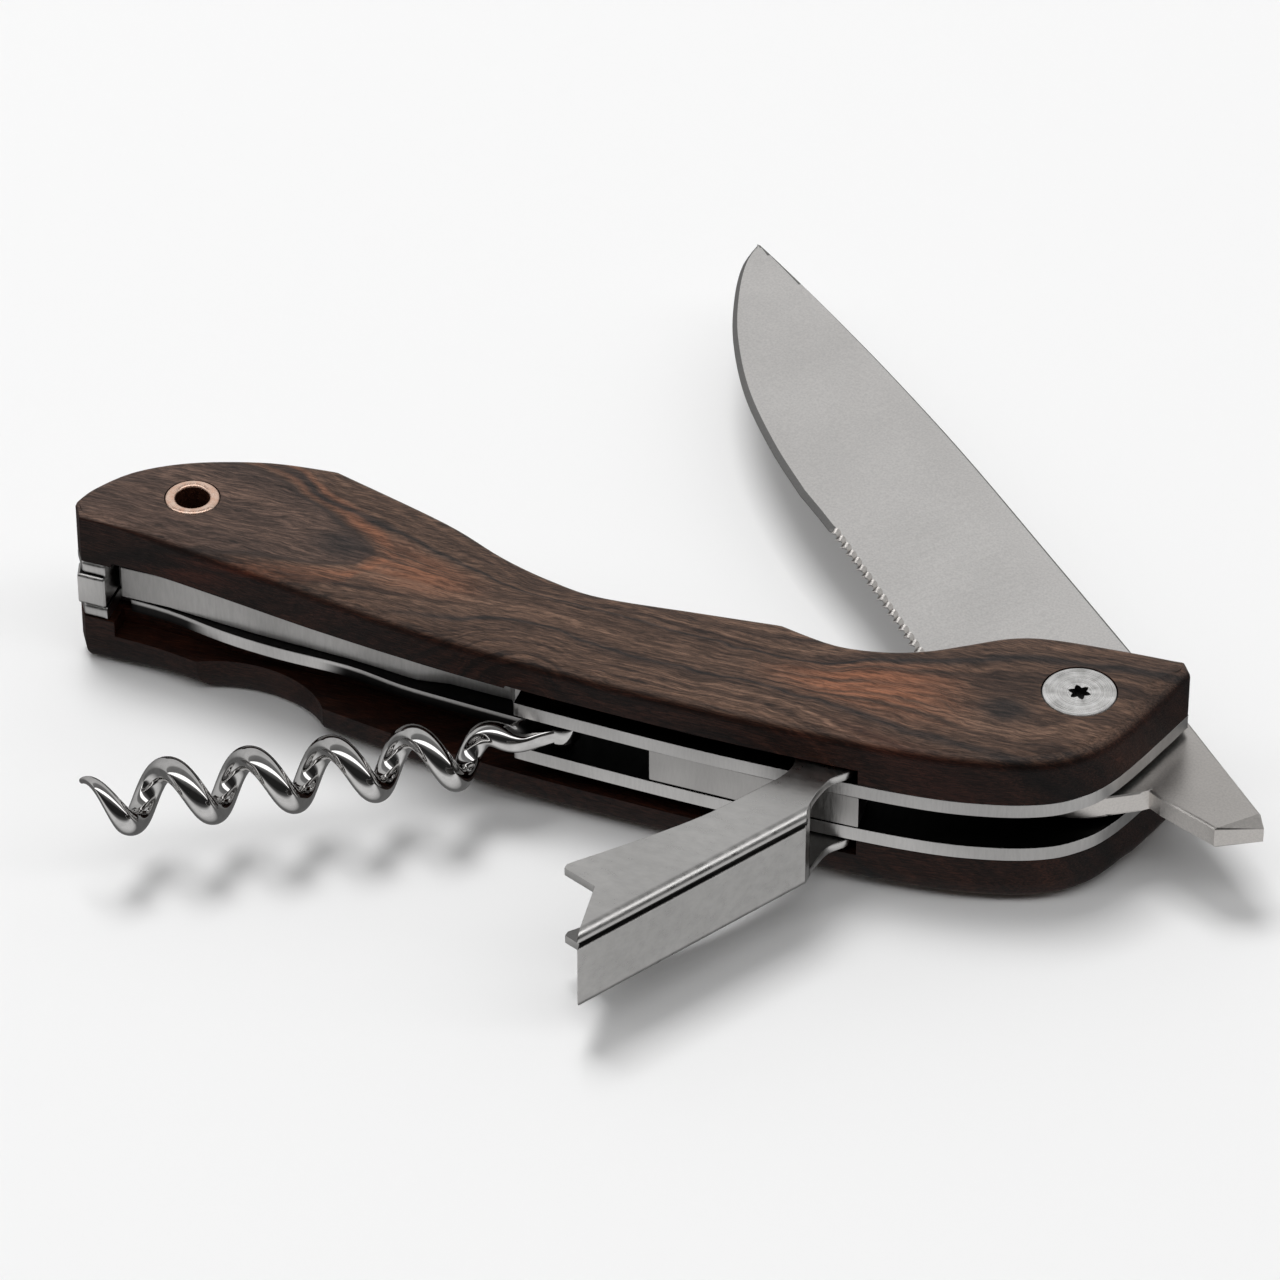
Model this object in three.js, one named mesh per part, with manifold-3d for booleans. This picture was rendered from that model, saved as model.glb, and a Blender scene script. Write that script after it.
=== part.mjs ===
// Folding waiter's corkscrew: walnut scales on steel liners, a half-open blade whose tang is a bottle
// opener, a worm and a folded-sheet fulcrum lever. Millimetres, +Z up. The handle lies on its side:
// the origin is on the resting face, midway between the lanyard eyelet and the blade pivot along X,
// +X points from the eyelet to the nose, and the blade opens towards +Y.
import * as THREE from 'three';
import { mergeVertices } from 'three/addons/utils/BufferGeometryUtils.js';
import Module from 'manifold-3d';

const wasm = await Module();
wasm.setup();

// ---------------------------------------------------------------- driving dimensions, mm and degrees
const pivotSpan = 94.7;          // lanyard eyelet to blade pivot
const axisLine = 6.5;            // both stand this far to the blade side of the origin
const scaleThickness = 5.9;
const linerThickness = 1.6;
const toolGap = 4.0;             // between the liners
const faceGap = 0.05;            // between stacked faces
const edgeRollHeight = 2.2;      // the scales' outer edge, rolled over
const edgeRollInset = 1.2;
const rabbetHeight = 1.9;        // relief in the lower scale for the worm, in both for the lever's flanges
const scaleSetBack = 0.4;        // the worm bay's floor behind the spring's face, in the scales
const linerSetBack = 0.2;        // and in the liners
const leverRootRelief = 4.3;     // radius cleared round the lever's root

const bladeThickness = 2.5;
const bladeAngle = 135.5;        // directions of the three tools in the half-open rest pose, from +X
const wormAngle = 210.9;
const leverAngle = 238.1;

const wireRadius = 1.3;
const helixRadius = 2.42;
const helixPitch = 8.24;
const helixOffset = 2.3;         // the worm's axis passes its pin at this distance
const helixStart = 12.0;         // full radius from here, measured along the axis from the pin
const wormLength = 48.8;         // pin to the tip of the ground point
const wormPointLength = 3.8;
const wormTipRadius = 0.3;
const shankLength = 3.0;         // flattened wire at the eye, before the helix opens
const wormEyeRadius = 2.05;
const wormEyeHalf = 1.0;
const crestPhase = 4.4;          // where the first crest stands, along the axis

const leverSheet = 1.0;
const leverWidth = 9.8;          // outside the two flanges
const leverBend = 1.4;           // outer bend radius
const leverWebFace = 5.5;        // pin axis to the web's outer face
const leverHalf = leverWidth / 2;

const pivotBarrelRadius = 2.4;
const screwHeadRadius = 3.75;
const screwHeadHeight = 1.4;
const washerRadius = 5.0;
const pinRadius = 1.2;
const rivetRadius = 1.0;
const fit = 0.08;                // radial clearance round barrels and pins
const eyeletOuter = 2.3;
const eyeletInner = 1.8;
const eyeletFlange = 2.8;
const eyeletFlangeThickness = 0.5;
const seatClearance = 0.1;       // round the eyelet's flanges and the screw's heads in the scales
const eyeletRelief = 0.3;        // round the eyelet in the spacer and the spring
const socketOuter = 1.0;         // six-lobed socket in the pivot screw
const socketInner = 0.62;
const socketDepth = 0.8;
const nutSlotWidth = 1.0;
const nutSlotDepth = 0.6;

// ---------------------------------------------------------------- levels and axes worked out from them
const linerLow = scaleThickness;
const gapLow = linerLow + linerThickness;
const gapHigh = gapLow + toolGap;
const linerHigh = gapHigh + linerThickness;
const handleTop = linerHigh + scaleThickness;
const middle = handleTop / 2;
const bladePivot = [pivotSpan / 2, axisLine];
const lanyard = [-pivotSpan / 2, axisLine];
const wormPivot = [-3.2, -4.7];
const leverPivot = [25.2, -5.7];
const beyond = 60;               // reach of cutting tools past the handle

// ---------------------------------------------------------------- outlines in plan
const nearEdge = [[-57.2, -0.1], [-50, -0.4], [-43, -1.5], [-31.5, -3.6], [-19.5, -5.7], [-8.5, -6.9],
  [2, -7.5], [13, -7.9], [24, -7.9], [33.5, -7.6], [40, -6.8], [46, -5.1], [50, -2.6], [53.1, 2],
  [56.9, 13.4]];
const noseEdge = [[55.9, 14.9], [50, 14.7], [42.4, 14.1], [38.3, 12.9], [34.4, 10.4], [30.9, 8.2],
  [27, 6.7], [22, 6.1], [16, 7.3]];
const waistEdge = [[16, 7.3], [7.8, 6.5], [-2.5, 5.6], [-8, 6.4], [-14, 8.3], [-21.5, 11.7], [-35, 16]];
const buttEdge = [[-35, 16], [-42, 15.2], [-49, 12.8], [-54.5, 9], [-57.5, 4.9],
  [-58.5, 2]];
const bayFloor = [[-53.9, 2.1], [-48.9, 2], [-38.5, 0.9], [-28, 0.3], [-20.4, -0.6], [-7.6, -2.2]];
const lowerBayFloor = [[-53.9, 1.9], [-48.6, 1.5], [-42.2, 0.2], [-36, -0.5], [-28, -0.8], [-21.8, -1.9],
  [-16.2, -2.4], [-7.6, -3]];
const leverReliefFloor = [[-7.6, -1.2], [-4.6, -1.2], [4, -3.3], [11, -4.3], [20.5, -4.6]];

const vectors = (points) => points.map(([x, y]) => new THREE.Vector2(x, y));

function polygon(points) {
  return new THREE.Shape(vectors(points));
}

function handleShape() {
  const shape = new THREE.Shape();
  shape.moveTo(...nearEdge[0]);
  for (const edge of [nearEdge, noseEdge, waistEdge, buttEdge]) {
    shape.lineTo(...edge[0]);
    shape.splineThru(vectors(edge.slice(1)));
  }
  return shape;
}

// ---------------------------------------------------------------- solids
function plate(shape, low, high, curveSegments = 2) {
  const options = { depth: high - low, bevelEnabled: false, curveSegments };
  return new THREE.ExtrudeGeometry(shape, options).translate(0, 0, low);
}

function disc([x, y], radius, low, high, segments = 32) {
  const round = new THREE.CylinderGeometry(radius, radius, high - low, segments);
  return round.rotateX(Math.PI / 2).translate(x, y, (low + high) / 2);
}

function ring([x, y], outer, inner, low, high, segments = 32) {
  const shape = new THREE.Shape().absarc(0, 0, outer, 0, 2 * Math.PI);
  shape.holes.push(new THREE.Path().absarc(0, 0, inner, 0, 2 * Math.PI, true));
  return plate(shape, low, high, segments).translate(x, y, 0);
}

function box(low, high) {
  const size = high.map((value, index) => value - low[index]);
  return new THREE.BoxGeometry(...size)
    .translate(...low.map((value, index) => value + size[index] / 2));
}

function solidOf(geometry) {
  const bare = geometry.clone();
  bare.deleteAttribute('normal');
  bare.deleteAttribute('uv');
  const merged = mergeVertices(bare);
  return new wasm.Manifold(new wasm.Mesh({
    numProp: 3,
    vertProperties: new Float32Array(merged.attributes.position.array),
    triVerts: new Uint32Array(merged.index.array),
  }));
}

function geometryOf(solid) {
  const mesh = solid.getMesh();
  const geometry = new THREE.BufferGeometry();
  geometry.setAttribute('position', new THREE.BufferAttribute(mesh.vertProperties, 3));
  geometry.setIndex(new THREE.BufferAttribute(mesh.triVerts, 1));
  geometry.computeVertexNormals();
  return geometry;
}

function cut(base, tools) {
  return geometryOf(tools.reduce((rest, tool) => rest.subtract(solidOf(tool)), solidOf(base)));
}

function join(pieces) {
  return geometryOf(pieces.map(solidOf).reduce((whole, piece) => whole.add(piece)));
}

function common(first, second) {
  return geometryOf(solidOf(first).intersect(solidOf(second)));
}

// ---------------------------------------------------------------- materials
const finish = (color, roughness, metalness) => new THREE.MeshStandardMaterial({
  color, roughness, metalness,
});
const walnut = () => finish(0x5a3a2c, 0.5, 0);
const satinSteel = () => finish(0xb6b2ac, 0.38, 1);
const brightSteel = () => finish(0xc9c9c9, 0.15, 1);
const copper = () => finish(0xd9946f, 0.25, 1);

const corkscrew = new THREE.Group();
function add(parent, name, geometry, material) {
  const mesh = new THREE.Mesh(geometry, material);
  mesh.name = name;
  parent.add(mesh);
}

// ---------------------------------------------------------------- handle: scales and liners
const rivets = {
  spring_rivet_rear: [-51.2, 3.6],
  spring_rivet_front: [-41, 3.4],
  butt_rivet: [-55, 4.6],
  block_rivet: [11, -4.9],
};
const pins = { worm_pin: wormPivot, lever_pin: leverPivot };

// Worm bay along the near edge, with its floor set back for the wire.
function bay(floor, low, high, setBack = 0) {
  const first = floor[0];
  const last = floor[floor.length - 1];
  const back = floor.map(([x, y]) => [x, y + setBack]).reverse();
  return plate(polygon([[first[0], -beyond], [last[0], -beyond], ...back].reverse()), low, high);
}

// Roof of the bay in the upper scale, as [x, height over the liner]: lowest over the worm's point.
const bayRoof = [[-beyond, 0.5], [-53.9, 0.5], [-31, 0.9], [-20, 1.4], [-7.6, 1.6], [0, 1.7]];
function roofedBay() {
  const low = -toolGap;
  const end = bayRoof[bayRoof.length - 1][0];
  const below = plate(polygon([[-beyond, low], [end, low], ...bayRoof.slice().reverse()]), -beyond, beyond)
    .rotateX(Math.PI / 2).translate(0, 0, linerHigh);
  return common(below, bay(bayFloor, linerHigh - 1, handleTop, scaleSetBack));
}

// Relief beside the bay in which the lever's flanges and their round root lie when it is folded.
function leverRelief(low, high) {
  const first = leverReliefFloor[0];
  const lane = polygon([[first[0] - 1, -beyond], [first[0] - 1, first[1]], ...leverReliefFloor,
    [leverPivot[0], leverPivot[1] + 1], [leverPivot[0] + leverHalf - 1.3, -beyond]].reverse());
  return join([plate(lane, low, high), disc(leverPivot, leverRootRelief, low, high)]);
}

// Thumb scallop beside the worm's point, cut through the lower scale's edge.
const scallop = disc([-38.5, -7.2], 7.4, -1, scaleThickness, 48).scale(1.35, 1, 1).translate(13.5, 0, 0);

function scale(low, high, rollUp) {
  const options = {
    depth: beyond, curveSegments: 2, bevelSegments: 3,
    bevelThickness: edgeRollHeight, bevelSize: edgeRollInset, bevelOffset: -edgeRollInset,
  };
  const rolled = new THREE.ExtrudeGeometry(handleShape(), options);
  if (rollUp) rolled.translate(0, 0, high - beyond - edgeRollHeight);
  else rolled.translate(0, 0, low + edgeRollHeight);
  return common(rolled, box([-beyond * 2, -beyond, low], [beyond * 2, beyond, high]));
}

const upperScaleLow = linerHigh + faceGap;
const lowerScaleHigh = linerLow - faceGap;
const counterbore = screwHeadRadius + seatClearance;
const flangeSeat = eyeletFlange + seatClearance;
add(corkscrew, 'upper_scale', cut(scale(upperScaleLow, handleTop, true), [
  roofedBay(),
  leverRelief(linerHigh - 1, linerHigh + rabbetHeight),
  disc(lanyard, eyeletOuter + fit, linerHigh - 1, handleTop + 1),
  disc(lanyard, flangeSeat, handleTop - eyeletFlangeThickness, handleTop + 1),
  disc(bladePivot, pivotBarrelRadius + fit, linerHigh - 1, handleTop + 1),
  disc(bladePivot, counterbore, handleTop - screwHeadHeight, handleTop + 1, 40),
]), walnut());
add(corkscrew, 'lower_scale', cut(scale(0, lowerScaleHigh, false), [
  bay(bayFloor, linerLow - rabbetHeight, linerLow + 1, scaleSetBack),
  leverRelief(linerLow - rabbetHeight, linerLow + 1),
  scallop,
  disc(lanyard, eyeletOuter + fit, -1, linerLow + 1),
  disc(lanyard, flangeSeat, -1, eyeletFlangeThickness),
  disc(bladePivot, pivotBarrelRadius + fit, -1, linerLow + 1),
  disc(bladePivot, counterbore, -1, screwHeadHeight, 40),
]), walnut());

// Deep slot between the butt and the worm bay.
const buttSlot = (low, high) => box([-54.6, -beyond, low], [-52.9, 3.4, high]);

function liner(low, high, floor) {
  return cut(plate(handleShape(), low, high), [
    bay(floor, low - 1, high + 1, linerSetBack),
    buttSlot(low - 1, high + 1),
    disc(lanyard, eyeletOuter + fit, low - 1, high + 1),
    disc(bladePivot, pivotBarrelRadius + fit, low - 1, high + 1),
    ...Object.values(rivets).map((at) => disc(at, rivetRadius + fit, low - 1, high + 1, 20)),
    ...Object.values(pins).map((at) => disc(at, pinRadius + fit, low - 1, high + 1, 20)),
  ]);
}
add(corkscrew, 'upper_liner', liner(gapHigh, linerHigh, bayFloor), satinSteel());
add(corkscrew, 'lower_liner', liner(linerLow, gapLow, lowerBayFloor), satinSteel());

// ---------------------------------------------------------------- between the liners
const layerLow = gapLow + faceGap;
const layerHigh = gapHigh - faceGap;

const buttSpacerShape = polygon([[-58.3, 1.6], [-57.7, -0.3], [-54.7, -0.4], [-54.7, 3.8], [-53.5, 4.8],
  [-52.9, 6.8], [-49.9, 7.6], [-48.4, 9.2], [-48.6, 12.6], [-52, 10.9], [-55, 8.2], [-57.5, 4.7]]);
add(corkscrew, 'butt_spacer', cut(plate(buttSpacerShape, layerLow, layerHigh), [
  disc(rivets.butt_rivet, rivetRadius + fit, 0, handleTop, 20),
  disc(lanyard, eyeletOuter + eyeletRelief, 0, handleTop),
]), satinSteel());

// Spring bar behind the worm: thick where it is riveted, with a thin free end set back beside the
// worm's eye and turned out at its tip.
const springShape = polygon([...bayFloor.slice(0, 5), [-17, -0.1], [-10.2, -0.4], [-9.4, -1.6],
  [-8.6, -1.6], [-8.6, 0.3], [-14, 0.8], [-21, 1.3], [-29, 3], [-36.5, 5.2], [-44, 5.4], [-51, 5.4],
  [-52.6, 4.2]]);
add(corkscrew, 'back_spring', cut(plate(springShape, layerLow, layerHigh), [
  disc(rivets.spring_rivet_rear, rivetRadius + fit, 0, handleTop, 20),
  disc(rivets.spring_rivet_front, rivetRadius + fit, 0, handleTop, 20),
  disc(lanyard, eyeletOuter + eyeletRelief, 0, handleTop),
]), satinSteel());

// Spacer block: carries the lever's pin and stops the opener tooth when the blade is fully open.
const blockShape = polygon([[7, -7.6], [18, -7.85], [29.1, -7.75], [28.8, -3.2], [27.6, -2.2], [7, -2.1]]);
add(corkscrew, 'spacer_block', cut(plate(blockShape, layerLow, layerHigh), [
  disc(rivets.block_rivet, rivetRadius + fit, 0, handleTop, 20),
  disc(leverPivot, pinRadius + fit, 0, handleTop, 20),
]), satinSteel());

for (const [name, at] of Object.entries(rivets)) {
  add(corkscrew, name, disc(at, rivetRadius, linerLow, linerHigh, 20), satinSteel());
}
add(corkscrew, 'worm_pin', disc(wormPivot, pinRadius, linerLow, linerHigh, 20), satinSteel());
const leverPinReach = leverHalf + 0.1;
add(corkscrew, 'lever_pin', disc(leverPivot, pinRadius, middle - leverPinReach, middle + leverPinReach, 20),
  satinSteel());

// ---------------------------------------------------------------- lanyard eyelet, flanged at both ends
const eyeletProfile = [
  [eyeletInner, 0.1], [eyeletFlange, 0.1], [eyeletFlange, 0.4], [eyeletOuter, eyeletFlangeThickness],
  [eyeletOuter, handleTop - eyeletFlangeThickness + faceGap],
  [eyeletFlange, handleTop - eyeletFlangeThickness + faceGap],
  [eyeletFlange, handleTop + faceGap], [(eyeletFlange + eyeletInner) / 2, handleTop + 0.2],
  [eyeletInner, handleTop], [eyeletInner, 0.1],
];
add(corkscrew, 'lanyard_eyelet', new THREE.LatheGeometry(vectors(eyeletProfile), 32)
  .rotateX(Math.PI / 2).translate(lanyard[0], lanyard[1], 0), copper());

// ---------------------------------------------------------------- blade pivot
const barrelLow = screwHeadHeight + faceGap;
const barrelHigh = handleTop - screwHeadHeight - faceGap;
add(corkscrew, 'pivot_barrel', disc(bladePivot, pivotBarrelRadius, barrelLow, barrelHigh), satinSteel());
const socket = new THREE.Shape();
const socketPoints = 6;
for (let i = 0; i < 2 * socketPoints; i += 1) {
  const angle = (i * Math.PI) / socketPoints;
  const radius = i % 2 ? socketInner : socketOuter;
  const place = [radius * Math.cos(angle), radius * Math.sin(angle)];
  if (i) socket.lineTo(...place);
  else socket.moveTo(...place);
}
const pivotHead = disc(bladePivot, screwHeadRadius, handleTop - screwHeadHeight, handleTop + faceGap, 40);
const socketCut = plate(socket, handleTop - socketDepth, handleTop + 1).translate(...bladePivot, 0);
add(corkscrew, 'pivot_screw', cut(pivotHead, [socketCut]), brightSteel());
const nutSlot = box([bladePivot[0] - beyond, bladePivot[1] - nutSlotWidth / 2, -1],
  [bladePivot[0] + beyond, bladePivot[1] + nutSlotWidth / 2, nutSlotDepth]);
const nutHead = disc(bladePivot, screwHeadRadius, faceGap, screwHeadHeight, 40);
add(corkscrew, 'pivot_nut', cut(nutHead, [nutSlot]), brightSteel());

const washerFace = bladeThickness / 2 + faceGap;
add(corkscrew, 'lower_washer',
  ring(bladePivot, washerRadius, pivotBarrelRadius + fit, layerLow, middle - washerFace, 16), satinSteel());
add(corkscrew, 'upper_washer',
  ring(bladePivot, washerRadius, pivotBarrelRadius + fit, middle + washerFace, layerHigh, 16), satinSteel());

// ---------------------------------------------------------------- blade, in its own frame: +X to the tip
function tool(pivot, angle) {
  const group = new THREE.Group();
  group.position.set(...pivot, middle);
  group.rotation.z = THREE.MathUtils.degToRad(angle);
  corkscrew.add(group);
  return group;
}

const bladeShape = new THREE.Shape();
bladeShape.moveTo(-16.8, -12);
bladeShape.splineThru(vectors([[-8, -12.3], [6, -12.8], [29, -13.1], [51, -13.2], [73, -12.4], [92.2, -11.3]]));
bladeShape.splineThru(vectors([[89.3, -7.9], [84.3, -4.4], [77.6, -0.9], [68.8, 2.2], [59.3, 4], [51, 4.8]]));
bladeShape.splineThru(vectors([[43, 4.9], [29, 5.8], [17, 6.6]]));
bladeShape.lineTo(14.5, 6.6);
bladeShape.quadraticCurveTo(11.5, 4.6, 8.5, 5.6);
bladeShape.absarc(0, 0, 7, THREE.MathUtils.degToRad(62), THREE.MathUtils.degToRad(176), false);
bladeShape.lineTo(-7.6, -1.9);
bladeShape.quadraticCurveTo(-8, -3.1, -7.9, -3.9);
bladeShape.lineTo(-9.5, -4.3);
bladeShape.quadraticCurveTo(-12.4, -5, -14.8, -6.4);
bladeShape.lineTo(-15.9, -6.8);
bladeShape.lineTo(-17.7, -11.4);
const halfBlade = bladeThickness / 2;
const bladeHole = disc([0, 0], pivotBarrelRadius + fit, -halfBlade - 1, halfBlade + 1);
add(tool(bladePivot, bladeAngle), 'blade', cut(plate(bladeShape, -halfBlade, halfBlade, 4), [bladeHole]),
  satinSteel());

// ---------------------------------------------------------------- worm, in its own frame: +X to the point
const smooth = (t) => {
  const u = THREE.MathUtils.clamp(t, 0, 1);
  return u * u * (3 - 2 * u);
};
function wormPoint(along) {
  const growth = smooth((along - shankLength) / (helixStart - shankLength));
  const turn = (2 * Math.PI * (along - crestPhase)) / helixPitch;
  const across = helixOffset * smooth(along / helixStart) + growth * helixRadius * Math.cos(turn);
  return new THREE.Vector3(along, across, growth * helixRadius * Math.sin(turn));
}

// Round wire along the helix, ground down to a point over its last stretch.
function drawnWire(start, end, steps, sides) {
  const path = new THREE.CatmullRomCurve3(
    Array.from({ length: steps + 1 }, (_, i) => wormPoint(start + ((end - start) * i) / steps)));
  const { normals, binormals } = path.computeFrenetFrames(steps);
  const corners = [];
  for (let i = 0; i <= steps; i += 1) {
    const centre = path.getPointAt(i / steps);
    const ground = Math.min((end - centre.x) / wormPointLength, 1);
    const radius = wormTipRadius + (wireRadius - wormTipRadius) * Math.max(ground, 0);
    for (let j = 0; j < sides; j += 1) {
      const angle = (2 * Math.PI * j) / sides;
      corners.push(centre.clone().addScaledVector(normals[i], radius * Math.cos(angle))
        .addScaledVector(binormals[i], radius * Math.sin(angle)));
    }
  }
  const faces = [];
  for (let j = 0; j < sides; j += 1) {
    const next = (j + 1) % sides;
    for (let i = 0; i < steps; i += 1) {
      const [a, b] = [i * sides, (i + 1) * sides];
      faces.push(a + j, a + next, b + next, a + j, b + next, b + j);
    }
    if (j > 0 && next > 0) {
      faces.push(0, next, j, steps * sides, steps * sides + j, steps * sides + next);
    }
  }
  return new THREE.BufferGeometry().setFromPoints(corners).setIndex(faces);
}
const wireSteps = Math.round(((wormLength - shankLength) / helixPitch) * 14);
const wire = drawnWire(shankLength, wormLength, wireSteps, 12);
const wormEye = disc([0, 0], wormEyeRadius, -wormEyeHalf, wormEyeHalf, 28);
const wormShank = polygon([[0, -wormEyeRadius], [3.2, -1], [5.4, 0], [5.6, 2.1], [3.6, 2], [0, wormEyeRadius]]);
const wormHole = disc([0, 0], pinRadius + fit, -wormEyeHalf - 1, wormEyeHalf + 1, 20);
add(tool(wormPivot, wormAngle), 'worm',
  cut(join([wire, plate(wormShank, -wormEyeHalf, wormEyeHalf), wormEye]), [wormHole]), brightSteel());

// ---------------------------------------------------------------- lever, in its own frame: +X to the tip
const leverPlan = new THREE.Shape();
leverPlan.moveTo(36.4, 5.6);
leverPlan.lineTo(30.4, 0.9);
leverPlan.lineTo(31, -3.1);
leverPlan.lineTo(30.4, -3.4);
leverPlan.splineThru(vectors([[21.5, -1.6], [14.5, -0.6], [6, -0.4]]));
leverPlan.quadraticCurveTo(3.6, -0.6, 2.6, -2);
leverPlan.absarc(0, 0, 3.3, THREE.MathUtils.degToRad(-38), THREE.MathUtils.degToRad(-285), true);
leverPlan.splineThru(vectors([[2.3, 3], [4, 3.5], [5.9, 4.4], [7.6, 5.6]]));
const channel = new THREE.Shape();
channel.moveTo(-5, -leverHalf);
channel.lineTo(leverWebFace - leverBend, -leverHalf);
channel.absarc(leverWebFace - leverBend, -leverHalf + leverBend, leverBend, -Math.PI / 2, 0, false);
channel.absarc(leverWebFace - leverBend, leverHalf - leverBend, leverBend, 0, Math.PI / 2, false);
channel.lineTo(-5, leverHalf);
channel.lineTo(-5, leverHalf - leverSheet);
const insideBend = leverBend - leverSheet;
const insideWeb = leverWebFace - leverBend;
channel.absarc(insideWeb, leverHalf - leverBend, insideBend, Math.PI / 2, 0, true);
channel.absarc(insideWeb, -leverHalf + leverBend, insideBend, 0, -Math.PI / 2, true);
channel.lineTo(-5, -leverHalf + leverSheet);
const channelBar = new THREE.ExtrudeGeometry(channel, {
  depth: beyond, bevelEnabled: false, curveSegments: 4,
}).applyMatrix4(new THREE.Matrix4().makeBasis(
  new THREE.Vector3(0, 1, 0), new THREE.Vector3(0, 0, 1), new THREE.Vector3(1, 0, 0),
)).translate(-beyond / 4, 0, 0);
const leverBody = common(channelBar, plate(leverPlan, -leverWidth, leverWidth, 4));
const leverHole = disc([0, 0], pinRadius + fit, -leverWidth, leverWidth, 20);
add(tool(leverPivot, leverAngle), 'lever', cut(leverBody, [leverHole]), satinSteel());

export default corkscrew;
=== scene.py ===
"""Looks of the folding waiter's corkscrew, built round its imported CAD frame.

Lengths below are millimetres in the row frame: the origin is on the resting face, +X runs from the
lanyard eyelet to the nose and the blade opens towards +Y. Objects are made in metres.
"""
from math import cos, hypot, pi, radians, sin

import bmesh
import bpy
from mathutils import Matrix, Vector


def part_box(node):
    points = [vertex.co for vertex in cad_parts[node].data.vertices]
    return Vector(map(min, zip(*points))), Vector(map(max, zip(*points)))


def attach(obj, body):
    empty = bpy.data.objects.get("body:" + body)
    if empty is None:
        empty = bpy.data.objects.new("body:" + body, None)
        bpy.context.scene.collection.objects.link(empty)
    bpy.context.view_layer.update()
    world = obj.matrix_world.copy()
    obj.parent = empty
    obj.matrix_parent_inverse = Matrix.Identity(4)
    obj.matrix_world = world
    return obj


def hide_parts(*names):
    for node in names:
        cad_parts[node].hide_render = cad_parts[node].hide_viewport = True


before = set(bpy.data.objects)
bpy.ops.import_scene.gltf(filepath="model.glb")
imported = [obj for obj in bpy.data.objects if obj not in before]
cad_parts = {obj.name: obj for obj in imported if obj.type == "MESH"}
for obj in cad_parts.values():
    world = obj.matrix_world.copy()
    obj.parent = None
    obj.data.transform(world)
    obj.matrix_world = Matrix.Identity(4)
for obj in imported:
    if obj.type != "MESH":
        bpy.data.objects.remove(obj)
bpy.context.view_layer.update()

MM = 0.001

# ---- levels, from the frame
def level(node, end):
    """Height in mm of the top (end=1) or the bottom (end=0) of a CAD node."""
    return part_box(node)[end].z / MM


HANDLE_TOP = level("upper_scale", 1)
UPPER_SCALE_LOW = level("upper_scale", 0)
UPPER_LINER = (level("upper_liner", 0), level("upper_liner", 1))
LOWER_LINER = (level("lower_liner", 0), level("lower_liner", 1))
LOWER_SCALE_HIGH = level("lower_scale", 1)
LAYER = (level("spacer_block", 0), level("spacer_block", 1))
MIDDLE = HANDLE_TOP / 2
HEAD_TOP = level("pivot_screw", 1)
HEAD_SEAT = level("pivot_screw", 0)


def axis_of(node):
    """Plan position in mm of the axis of a round CAD node."""
    low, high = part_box(node)
    middle = (low + high) / 2 / MM
    return middle.x, middle.y


def radius_of(node):
    """Radius in mm of a round CAD node."""
    low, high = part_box(node)
    return (high - low).x / 2 / MM


BLADE_PIVOT = axis_of("pivot_barrel")
LANYARD = axis_of("lanyard_eyelet")
WORM_PIVOT = axis_of("worm_pin")
LEVER_PIVOT = axis_of("lever_pin")
BLADE_ANGLE, WORM_ANGLE, LEVER_ANGLE = 135.5, 210.9, 238.1
HEAD_RADIUS = radius_of("pivot_screw")
BARREL_RADIUS = radius_of("pivot_barrel")
PIN_RADIUS = radius_of("worm_pin")
FIT = 0.08        # clearance round pins and barrels
BEYOND = 60       # reach of cutting bodies past the handle
PAST = 1          # overshoot of cutting bodies above and below a plate

# ---- outlines in plan
NEAR_EDGE = [(-57.2, -0.1), (-50, -0.4), (-43, -1.5), (-31.5, -3.6), (-19.5, -5.7), (-8.5, -6.9),
             (2, -7.5), (13, -7.9), (24, -7.9), (33.5, -7.6), (40, -6.8), (46, -5.1), (50, -2.6),
             (53.1, 2), (56.9, 13.4)]
NOSE_EDGE = [(55.9, 14.9), (50, 14.7), (42.4, 14.1), (38.3, 12.9), (34.4, 10.4), (30.9, 8.2),
             (27, 6.7), (22, 6.1), (16, 7.3)]
WAIST_EDGE = [(16, 7.3), (7.8, 6.5), (-2.5, 5.6), (-8, 6.4), (-14, 8.3), (-21.5, 11.7), (-35, 16)]
BUTT_EDGE = [(-35, 16), (-42, 15.2), (-49, 12.8), (-54.5, 9), (-57.5, 4.9), (-58.5, 2)]
BAY_FLOOR = [(-53.9, 2.1), (-48.9, 2), (-38.5, 0.9), (-28, 0.3), (-20.4, -0.6), (-7.6, -2.2)]
LOWER_BAY_FLOOR = [(-53.9, 1.9), (-48.6, 1.5), (-42.2, 0.2), (-36, -0.5), (-28, -0.8), (-21.8, -1.9),
                   (-16.2, -2.4), (-7.6, -3)]
LEVER_RELIEF_FLOOR = [(-7.6, -1.2), (-4.6, -1.2), (4, -3.3), (11, -4.3), (20.5, -4.6)]


def spline(points, steps=6):
    """Catmull-Rom curve through the points, its ends held."""
    held = [points[0], *points, points[-1]]
    curve = []
    for p0, p1, p2, p3 in zip(held, held[1:], held[2:], held[3:]):
        for step in range(steps):
            t = step / steps
            curve.append(tuple(
                b + t * (c - a) / 2 + t * t * (a - 2.5 * b + 2 * c - d / 2)
                + t ** 3 * (-a + 3 * b - 3 * c + d) / 2
                for a, b, c, d in zip(p0, p1, p2, p3)))
    curve.append(tuple(points[-1]))
    return curve


def arc(centre, radius, start, end, steps=12):
    """Points round a circle, angles in degrees."""
    turns = [radians(start + (end - start) * step / steps) for step in range(steps + 1)]
    return [(centre[0] + radius * cos(a), centre[1] + radius * sin(a)) for a in turns]


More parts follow.
